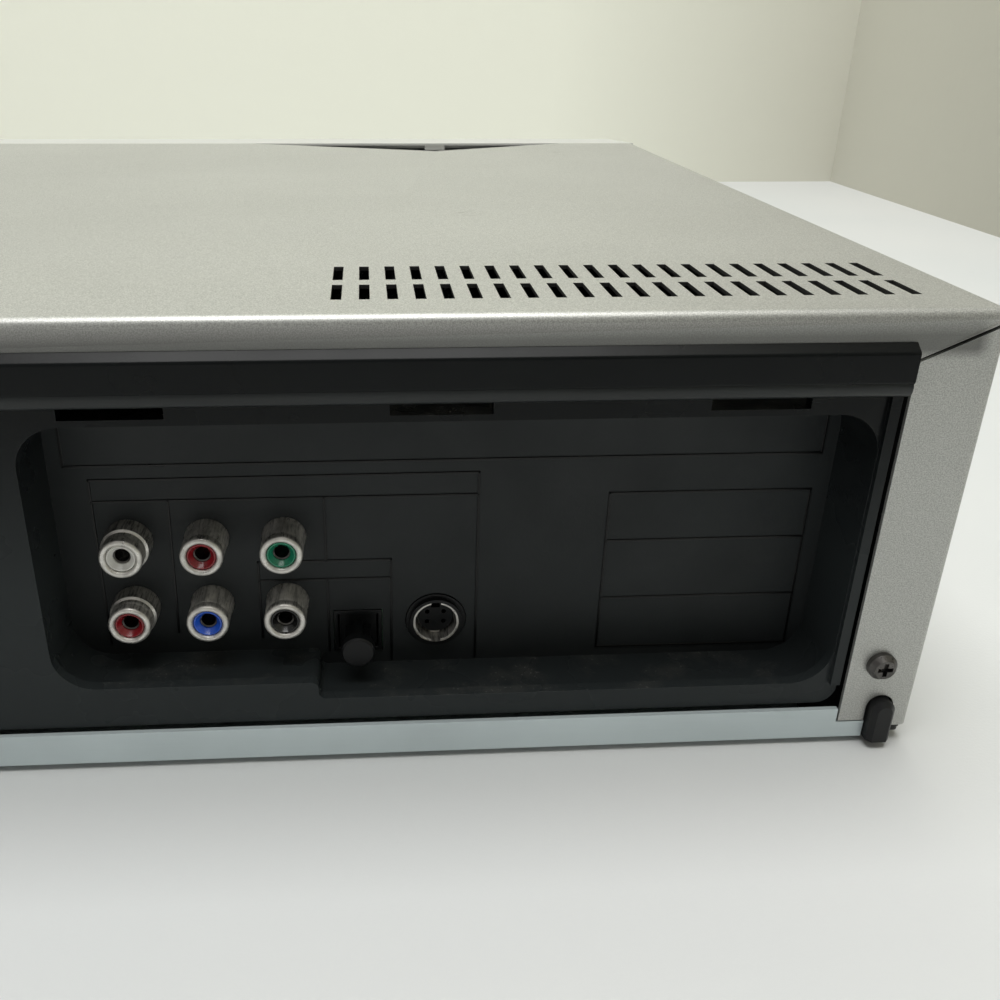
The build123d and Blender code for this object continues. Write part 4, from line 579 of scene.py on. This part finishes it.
def raised_face(shape, verts, way):
    """Draws the face on these corners out along a way, and gives all corners of the solid."""
    faces = list({face for vert in verts for face in vert.link_faces})
    drawn = bmesh.ops.extrude_face_region(shape, geom=faces)
    moved = [item for item in drawn["geom"] if isinstance(item, bmesh.types.BMVert)]
    bmesh.ops.translate(shape, verts=moved, vec=way)
    return verts + moved


def shade_smooth(piece, angle=35):
    for polygon in piece.data.polygons:
        polygon.use_smooth = True
    piece.data.set_sharp_from_angle(angle=math.radians(angle))


def round_block(piece, width):
    """Rounds every sharp edge of a piece that was made from plain blocks."""
    bevel = piece.modifiers.new("edges", "BEVEL")
    bevel.width = width
    bevel.segments = 1
    bevel.limit_method = "ANGLE"


def lathe(shape, profile, steps=48):
    """Full turn about Y of an open outline of (radius, along Y) points."""
    verts = [shape.verts.new((radius, along, 0)) for radius, along in profile]
    edges = [shape.edges.new(pair) for pair in zip(verts, verts[1:])]
    whole_turn = {"angle": 2 * math.pi, "steps": steps, "use_merge": True}
    bmesh.ops.spin(shape, geom=verts + edges, cent=(0, 0, 0), axis=(0, 1, 0), **whole_turn)
    bmesh.ops.remove_doubles(shape, verts=shape.verts, dist=0.001 * MM)
    bmesh.ops.recalc_face_normals(shape, faces=shape.faces)


def arc(centre_radius, centre_along, radius, start, end, count=5):
    """Points of a round stretch of a profile, angles in degrees from +radius."""
    points = []
    for step in range(count + 1):
        angle = math.radians(start + (end - start) * step / count)
        points.append((centre_radius + radius * math.cos(angle), centre_along + radius * math.sin(angle)))
    return points


# ---------------------------------------------------------------- camera, light and floor
def set_camera():
    right = Vector((-math.cos(CAMERA_YAW), math.sin(CAMERA_YAW), 0))
    ahead = Vector((
        -math.sin(CAMERA_YAW) * math.cos(CAMERA_PITCH),
        -math.cos(CAMERA_YAW) * math.cos(CAMERA_PITCH),
        -math.sin(CAMERA_PITCH),
    ))
    down = ahead.cross(right)
    rolled_right = right * math.cos(CAMERA_ROLL) + down * math.sin(CAMERA_ROLL)
    rolled_down = down * math.cos(CAMERA_ROLL) - right * math.sin(CAMERA_ROLL)
    turn = Matrix((rolled_right, -rolled_down, -ahead)).transposed().to_4x4()
    data = bpy.data.cameras.new("camera")
    data.sensor_width = 36
    data.lens = FOCAL_PIXELS / PHOTO_SIZE * data.sensor_width
    data.shift_x = (PHOTO_SIZE / 2 - VIEW_CENTRE[0]) / PHOTO_SIZE
    data.shift_y = (VIEW_CENTRE[1] - PHOTO_SIZE / 2) / PHOTO_SIZE
    data.clip_start = 0.01
    camera = bpy.data.objects.new("camera", data)
    camera.matrix_world = Matrix.Translation(CAMERA_PLACE) @ turn
    bpy.context.scene.collection.objects.link(camera)
    bpy.context.scene.camera = camera


def area_lamp(name, place, target, size, power, colour=(1, 1, 1)):
    data = bpy.data.lights.new(name, "AREA")
    data.shape = "RECTANGLE"
    data.size, data.size_y = size
    data.energy = power
    data.color = colour
    lamp = bpy.data.objects.new(name, data)
    lamp.location = place
    lamp.rotation_mode = "QUATERNION"
    lamp.rotation_quaternion = (Vector(target) - Vector(place)).to_track_quat("-Z", "Y")
    bpy.context.scene.collection.objects.link(lamp)


def set_light():
    scene = bpy.context.scene
    scene.view_settings.view_transform = "Standard"
    world = bpy.data.worlds.new("room")
    world.use_nodes = True
    background = world.node_tree.nodes["Background"]
    background.inputs["Color"].default_value = (1.0, 0.985, 0.95, 1)
    scene.world = world
    rays = add_node(world, "ShaderNodeLightPath")
    shown = times(world, rays.outputs["Is Camera Ray"], rays.outputs["Is Glossy Ray"], "MAXIMUM")
    shown = times(world, shown, rays.outputs["Is Transmission Ray"], "MAXIMUM")
    join(world, spread(world, shown, 0, 1, 0.20, 0.40), background.inputs["Strength"])
    area_lamp("ceiling", (-0.04, 0.12, 1.6), (-0.04, 0.02, 0), (1.1, 1.1), 24.5, (1.0, 1.0, 0.985))


def set_stage():
    floor = bmesh.new()
    bmesh.ops.create_grid(floor, x_segments=1, y_segments=1, size=2.5)
    cloth = new_finish("white_cloth", (0.70, 0.70, 0.705), 0.9)
    weave = noise(cloth, 1600, 2.0)
    folds = spread(cloth, noise(cloth, 5, 2.0), 0.3, 0.7)
    relief(cloth, weave, 0.25, 0.12 * MM)
    colour_from(cloth, blend_colours(cloth, folds, (0.65, 0.67, 0.675), (0.69, 0.70, 0.70)))
    mesh = bpy.data.meshes.new("table_cloth")
    floor.to_mesh(mesh)
    floor.free()
    mesh.materials.append(cloth)
    table = bpy.data.objects.new("table_cloth", mesh)
    bpy.context.scene.collection.objects.link(table)
    corner = (0.66, 0.65, 0.57)  # painted shade where the two walls meet
    # painted shade: the back wall darkens towards the corner, the side wall darkens further from the corner
    # towards the front
    plaster = one_sided_plaster("back_plaster", "X", (-0.28, -0.56), (0.96, 0.97, 0.865), corner)
    back = wall_panel("back_wall", plaster, Matrix.Rotation(-math.pi / 2, 3, "X"), (0, BACK_WALL, 0))
    plaster = one_sided_plaster("side_plaster", "Y", (BACK_WALL, -0.30), corner, (0.48, 0.47, 0.41))
    side = wall_panel("side_wall", plaster, Matrix.Rotation(math.pi / 2, 3, "Y"), (SIDE_WALL, 0, 0))


def one_sided_plaster(name, axis, ends, near, far):
    """Cream plaster that is open from behind, so that no wall stands before a camera, with painted shade:
    its colour runs from near to far along one axis.
    """
    plaster = new_finish(name, near, 0.95)
    relief(plaster, noise(plaster, 60, 3.0), 0.2, 1.0 * MM)
    along = spread(plaster, part_of_place(plaster, axis), *ends)
    colour_from(plaster, blend_colours(plaster, along, near, far))
    geometry = add_node(plaster, "ShaderNodeNewGeometry")
    clear = add_node(plaster, "ShaderNodeBsdfTransparent")
    choice = add_node(plaster, "ShaderNodeMixShader")
    join(plaster, geometry.outputs["Backfacing"], choice.inputs[0])
    join(plaster, shader_of(plaster).outputs[0], choice.inputs[1])
    join(plaster, clear.outputs[0], choice.inputs[2])
    join(plaster, choice.outputs[0], plaster.node_tree.nodes["Material Output"].inputs["Surface"])
    return plaster


def wall_panel(name, material, turn, place):
    shape = bmesh.new()
    bmesh.ops.create_grid(shape, x_segments=1, y_segments=1, size=2.2)
    bmesh.ops.rotate(shape, verts=shape.verts, cent=(0, 0, 0), matrix=turn)
    bmesh.ops.translate(shape, verts=shape.verts, vec=place)
    mesh = bpy.data.meshes.new(name)
    shape.to_mesh(mesh)
    shape.free()
    mesh.materials.append(material)
    panel = bpy.data.objects.new(name, mesh)
    bpy.context.scene.collection.objects.link(panel)
    return panel


set_camera()
set_light()
set_stage()


# ---------------------------------------------------------------- casing
def cover_shaded_face(face):
    """The inner faces of the folded cover and the walls of its vents are darkened with painted shade."""
    middle = face.calc_center_median()
    in_field = abs(middle.x) < cover_high.x - 5 * MM and abs(middle.y) < cover_high.y - 3 * MM
    if in_field and abs(face.normal.z) < 0.3 and middle.z > cover_high.z - 1.2 * SHEET:
        return 1
    low = abs(middle.z - (cover_high.z - SHEET)) < 0.05 * MM and face.normal.z < -0.9
    side = abs(abs(middle.x) - (cover_high.x - SHEET)) < 0.05 * MM and abs(face.normal.x) > 0.9
    return 1 if low or (side and face.normal.x * middle.x < 0) else 0


refined("top_cover", 0.22 * MM, 2, material_of=cover_shaded_face, extra=(INSIDE_SHADE,))

PANEL_BACK = panel_high.y - PANEL_PROUD - PANEL_WALL


def jack_wall_face(face):
    """The flat back walls of the two jack bays have their own, duller grain."""
    middle = face.calc_center_median()
    return 1 if abs(middle.y - JACK_WALL) < 0.2 * MM and face.normal.y > 0.9 else 0


def on_bay_joint(edge):
    """Edges where a tub meets the back of the panel stay sharp, so that no seam shows."""
    return all(abs(vert.co.y - PANEL_BACK) < 0.02 * MM for vert in edge.verts)


# the rounded rims of the rear panel take the lighter finish, a painted highlight
refined("rear_panel", 0.40 * MM, 3, ("jack_bays",), jack_wall_face, (JACK_FACE, HIGHLIGHT_EDGE), on_bay_joint, 2)
for name, width in CASING_ROUNDS.items():
    refined(name, width)


def hood_lip():
    """Rounded lower lip of the hood, which hangs a little over the tops of the slots."""
    middle_y = panel_high.y - LIP_HALF_DEPTH - EDGE_SLIP
    middle_z = cover_high.z - HOOD_BOTTOM + LIP_RISE
    reach = panel_high.x - 0.3 * MM
    shape = bmesh.new()
    bar = bmesh.ops.create_circle(shape, cap_ends=True, segments=24, radius=1)["verts"]
    bmesh.ops.scale(shape, verts=bar, vec=(LIP_HALF_HEIGHT, LIP_HALF_DEPTH, 1))
    bmesh.ops.rotate(shape, verts=bar, cent=(0, 0, 0), matrix=Matrix.Rotation(math.pi / 2, 3, "Y"))
    raised_face(shape, bar, (2 * reach, 0, 0))
    bmesh.ops.translate(shape, verts=shape.verts, vec=(-reach, middle_y, middle_z))
    bmesh.ops.recalc_face_normals(shape, faces=shape.faces)
    # the lip is coloured lighter than the hood around it: painted light
    lip = make_piece("hood_lip", shape, (LIP_PAINTED_LIGHT,), "casing")
    shade_smooth(lip, 50)


hood_lip()


def ring_metal(face):
    """The round video socket is plastic with a metal ring let into it."""
    middle = face.calc_center_median()
    centre = Vector(mounts["svideo"]["pos_m"])
    radius = math.hypot(middle.x - centre.x, middle.z - centre.z)
    return 1 if SVIDEO_RING[0] < radius < SVIDEO_RING[1] and middle.y > centre.y - SVIDEO_RING_DEPTH else 0


refined("svideo_socket", 0.12 * MM, 2, material_of=ring_metal, extra=(NICKEL,))


# ---------------------------------------------------------------- cinch sockets
SOCKET_COLOURS = {
    "dvd_audio_left": "white",
    "dvd_audio_right": "red",
    "dvd_component_red": "red",
    "dvd_component_blue": "blue",
    "dvd_component_green": "green",
    "dvd_digital_coaxial": "black",
    "shared_video_1": "yellow",
    "shared_audio_left_1": "white",
    "shared_audio_right_1": "red",
    "shared_video_2": "yellow",
    "shared_audio_left_2": "white",
    "shared_audio_right_2": "red",
}
INSERTS = {
    "white": ("rca_inserts_white", WHITE_INSERT),
    "red": ("rca_inserts_red", RED_INSERT),
    "yellow": ("rca_inserts_yellow", YELLOW_INSERT),
    "green": ("rca_insert_green", GREEN_INSERT),
    "blue": ("rca_insert_blue", BLUE_INSERT),
    "black": ("rca_insert_black", BLACK_INSERT),
}


def socket_places():
    """(x, z, mouth, looks back or front, colour, has a collar) of every cinch socket."""
    places = []
    for name, colour in SOCKET_COLOURS.items():
        x, _, z = mounts[name]["pos_m"]
        places.append((x, z, RING_MOUTH, 1, colour, name.startswith("dvd_audio")))
    door_low, door_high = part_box("jack_door")
    x, z = (door_low.x + door_high.x) / 2, (door_low.z + door_high.z) / 2
    for step, colour in zip((-1, 0, 1), ("yellow", "white", "red")):
        places.append((x + step * RING_PITCH, z, rings_low.y, -1, colour, False))
    return places


def ring_profile(collar):
    """Half outline of a rolled metal ring, measured back from its mouth."""
    wall = (RING_RADIUS - RING_BORE) / 2
    middle = RING_BORE + wall
    points = [(RING_BORE, -RING_DEPTH), (RING_BORE, -wall)]
    points += [(r, y - wall) for r, y in arc(middle, 0, wall, 180, 0, 8)]
    groove = RING_RADIUS - GROOVE_DEPTH
    corners = zip((RING_RADIUS, groove, groove, RING_RADIUS), GROOVE_ENDS)
    points += [(radius, -back) for radius, back in corners]
    if collar:
        top = -RING_PROUD + COLLAR_LENGTH
        points += [(RING_RADIUS, top + 0.3 * MM), (COLLAR_TOP, top)]
        points += [(COLLAR_FOOT, -RING_PROUD + 0.1 * MM), (RING_ROOT, -RING_PROUD)]
    else:
        points += [(RING_RADIUS, -RING_PROUD + 0.5 * MM), (RING_ROOT, -RING_PROUD + 0.2 * MM)]
    points += [(RING_ROOT, -RING_DEPTH), (RING_BORE, -RING_DEPTH)]
    return points


def insert_profile():
    """Coloured filling with a round lip and a shallow funnel down to the pin hole."""
    face = -0.45 * MM
    lip = 0.25 * MM
    points = [(0, -RING_DEPTH), (INSERT_RADIUS, -RING_DEPTH), (INSERT_RADIUS, face - lip)]
    points += arc(INSERT_RADIUS - lip, face - lip, lip, 0, 110, 5)
    points += [(INSERT_HOLE + 0.30 * MM, face - 0.65 * MM), (INSERT_HOLE, face - 1.0 * MM)]
    return points + [(INSERT_HOLE, -INSERT_DEPTH), (0, -INSERT_DEPTH)]


def contact_profile():
    """Spring sleeve down in the hole of an insert."""
    outside, inside = INSERT_HOLE - 0.04 * MM, INSERT_HOLE - 0.30 * MM
    top = -1.7 * MM
    bottom = -INSERT_DEPTH + 0.1 * MM
    return [(outside, bottom), (outside, top), (inside, top - 0.2 * MM), (inside, bottom), (outside, bottom)]


def turned_at(shape, profile, x, z, mouth, side, steps=40):
    """Adds a lathed shape at a socket's place, facing back (1) or front (-1)."""
    known = set(shape.verts)
    lathe(shape, profile, steps)
    fresh = [vert for vert in shape.verts if vert not in known]
    if side < 0:
        bmesh.ops.rotate(shape, verts=fresh, cent=(0, 0, 0), matrix=Matrix.Rotation(math.pi, 3, "Z"))
    bmesh.ops.translate(shape, verts=fresh, vec=(x, mouth, z))


def cinch_sockets():
    rings = bmesh.new()
    contacts = bmesh.new()
    fillings = {colour: bmesh.new() for colour in INSERTS}
    for x, z, mouth, side, colour, collar in socket_places():
        turned_at(rings, ring_profile(collar), x, z, mouth, side)
        turned_at(contacts, contact_profile(), x, z, mouth, side, 24)
        turned_at(fillings[colour], insert_profile(), x, z, mouth, side)
    metal = make_piece("cinch_rings", rings, (NICKEL,), "casing")
    shade_smooth(metal)
    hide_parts("rca_shells")
    shade_smooth(make_piece("cinch_contacts", contacts, (DARK_NICKEL,), "casing"))
    for colour, (node, finish) in INSERTS.items():
        filling = make_piece(f"{node}_turned", fillings[colour], (finish,), "casing")
        shade_smooth(filling)
        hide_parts(node)


cinch_sockets()


# ---------------------------------------------------------------- aerial sockets
def aerial_profile():
    """Half outline of a threaded barrel, from its root to its pin hole."""
    length = aerial_high.y - JACK_WALL
    root = AERIAL_RADIUS - THREAD_DEPTH
    bore = AERIAL_RADIUS - AERIAL_WALL
    points = [(0, 0), (root, 0), (root, 2.4 * MM)]
    turns = int((length - 3.2 * MM) / THREAD_PITCH)
    for turn in range(turns):
        start = THREAD_START + turn * THREAD_PITCH
        points.append((root, start))
        points.append((AERIAL_RADIUS, start + 0.35 * THREAD_PITCH))
        points.append((AERIAL_RADIUS, start + 0.55 * THREAD_PITCH))
    points += [(root, length - 0.3 * MM), (AERIAL_RADIUS - 0.7 * MM, length)]
    return points + [(bore, length), (bore, AERIAL_FLOOR), (0, AERIAL_FLOOR)]


def aerial_core_profile():
    """Half outline of the plastic core with its pin hole, inside a barrel."""
    length = aerial_high.y - JACK_WALL
    edge = length - CORE_EDGE - 1.0 * MM
    points = [(0, 1.9 * MM), (CORE_RADIUS, 1.9 * MM), (CORE_RADIUS, edge)]
    points += arc(CORE_RADIUS - CORE_EDGE, edge, CORE_EDGE, 0, 90, 4)
    return points + [(CORE_HOLE, length - 1.0 * MM), (CORE_HOLE, 3.0 * MM), (0, 3.0 * MM)]


def aerial_sockets():
    metal = bmesh.new()
    cores = bmesh.new()
    aerial_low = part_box("antenna_connectors")[0]
    x = (aerial_low.x + aerial_high.x) / 2
    nut_height = NUT_CORNER * math.cos(math.pi / 6)
    for z in (aerial_low.z + nut_height, aerial_high.z - nut_height):
        turned_at(metal, aerial_profile(), x, z, JACK_WALL, 1)
        turned_at(cores, aerial_core_profile(), x, z, JACK_WALL, 1, 28)
        nut = bmesh.ops.create_circle(metal, cap_ends=True, segments=6, radius=NUT_RADIUS)["verts"]
        whole = raised_face(metal, nut, (0, 0, NUT_HEIGHT))
        bmesh.ops.rotate(metal, verts=whole, cent=(0, 0, 0), matrix=Matrix.Rotation(-math.pi / 2, 3, "X"))
        bmesh.ops.translate(metal, verts=whole, vec=(x, JACK_WALL + 0.1 * MM, z))
    bmesh.ops.recalc_face_normals(metal, faces=metal.faces)
    barrels = make_piece("aerial_barrels", metal, (NICKEL,), "casing")
    shade_smooth(barrels)
    round_block(barrels, 0.08 * MM)
    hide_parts("antenna_connectors")
    shade_smooth(make_piece("aerial_cores", cores, (WHITE_INSERT,), "casing"))


aerial_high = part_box("antenna_connectors")[1]
aerial_sockets()


# ---------------------------------------------------------------- lines on the jack wall
def raised_line(shape, points):
    """A low moulded line through (x, z) points on the jack wall."""
    for (x0, z0), (x1, z1) in zip(points, points[1:]):
        start, end = Vector((x0, 0, z0)) * MM, Vector((x1, 0, z1)) * MM
        along = end - start
        reach = along.length + LINE_WIDTH
        made = bmesh.ops.create_cube(shape, size=1)["verts"]
        bmesh.ops.scale(shape, verts=made, vec=(reach, LINE_HEIGHT * 2, LINE_WIDTH))
        turn = Matrix.Rotation(-math.atan2(along.z, along.x), 3, "Y")
        bmesh.ops.rotate(shape, verts=made, cent=(0, 0, 0), matrix=turn)
        middle = (start + end) / 2
        bmesh.ops.translate(shape, verts=made, vec=(middle.x, JACK_WALL, middle.z))


def jack_wall_lines():
    shape = bmesh.new()
    for points in WALL_LINES:
        raised_line(shape, points)
    # their near-black colour is painted shade of engraved lines
    lines = make_piece("jack_wall_lines", shape, (LINE_SHADE_PLASTIC,), "casing")
    round_block(lines, 0.06 * MM)


jack_wall_lines()

# ---------------------------------------------------------------- front keys and doors
for name, width in FRONT_ROUNDS.items():
    refined(name, width)
for name in KEY_NODES:
    refined(name, 0.25 * MM)


# ---------------------------------------------------------------- marks over the keys
def flat_mark(shape, corners, x, z, radius, turn=0.0, width=1.0):
    """A printed triangle, square or disc on the face of the front panel."""
    made = bmesh.ops.create_circle(shape, cap_ends=True, segments=corners, radius=radius)["verts"]
    bmesh.ops.rotate(shape, verts=made, cent=(0, 0, 0), matrix=Matrix.Rotation(turn, 3, "Z"))
    bmesh.ops.scale(shape, verts=made, vec=(width, 1, 1))
    whole = raised_face(shape, made, (0, 0, MARK_DEPTH))
    bmesh.ops.rotate(shape, verts=whole, cent=(0, 0, 0), matrix=Matrix.Rotation(math.pi / 2, 3, "X"))
    bmesh.ops.translate(shape, verts=whole, vec=(x, face_y + 0.05 * MM, z))


def mark_bar(shape, x, z, width, height):
    flat_mark(shape, 4, x, z, 0.7071 * height, math.pi / 4, width / height)


RIGHT, LEFT, UP = -math.pi / 2, math.pi / 2, 0.0


def key_marks():
    shape = bmesh.new()

    def over(name):
        low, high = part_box(name)
        return (low.x + high.x) / 2, high.z + MARK_RISE

    for name, arrows in (
        ("dvd_play_button", ((0, RIGHT),)),
        ("vcr_play_button", ((0, RIGHT),)),
        ("vcr_rewind_button", ((-1, LEFT), (1, LEFT))),
        ("vcr_forward_button", ((-1, RIGHT), (1, RIGHT))),
        ("dvd_skip_rocker", ((-7.6, LEFT), (-5.9, LEFT), (5.9, RIGHT), (7.6, RIGHT))),
    ):
        x, z = over(name)
        for step, turn in arrows:
            flat_mark(shape, 3, x + step * ARROW_STEP, z, ARROW_SIZE, turn)
    x, z = over("dvd_skip_rocker")
    for side in (-1, 1):
        mark_bar(shape, x + side * 11.4 * MM, z, BAR_WIDTH, BAR_LENGTH)
    for name in ("dvd_stop_button", "vcr_stop_eject_button"):
        x, z = over(name)
        aside = SIGN_ASIDE if name.startswith("vcr") else 0
        mark_bar(shape, x - aside, z, SQUARE_SIDE, SQUARE_SIDE)
    for name, aside in (("vcr_stop_eject_button", SIGN_ASIDE), ("open_close_button", 0)):
        x, z = over(name)
        flat_mark(shape, 3, x + aside, z + 0.3 * MM, ARROW_SIZE, UP)
        mark_bar(shape, x + aside, z - 1.1 * MM, BAR_LENGTH, BAR_WIDTH)
    x, z = over("power_button")
    for step in range(11):
        angle = math.radians(50 + 26 * step)
        dot_x, dot_z = x + POWER_RADIUS * math.sin(angle), z + POWER_RADIUS * math.cos(angle)
        flat_mark(shape, 8, dot_x, dot_z, POWER_DOT)
    mark_bar(shape, x, z + 1.1 * MM, BAR_WIDTH, 2.0 * MM)
    bmesh.ops.recalc_face_normals(shape, faces=shape.faces)
    make_piece("key_marks", shape, (MARKING,), "casing")


face_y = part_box("front_panel")[0].y
key_marks()
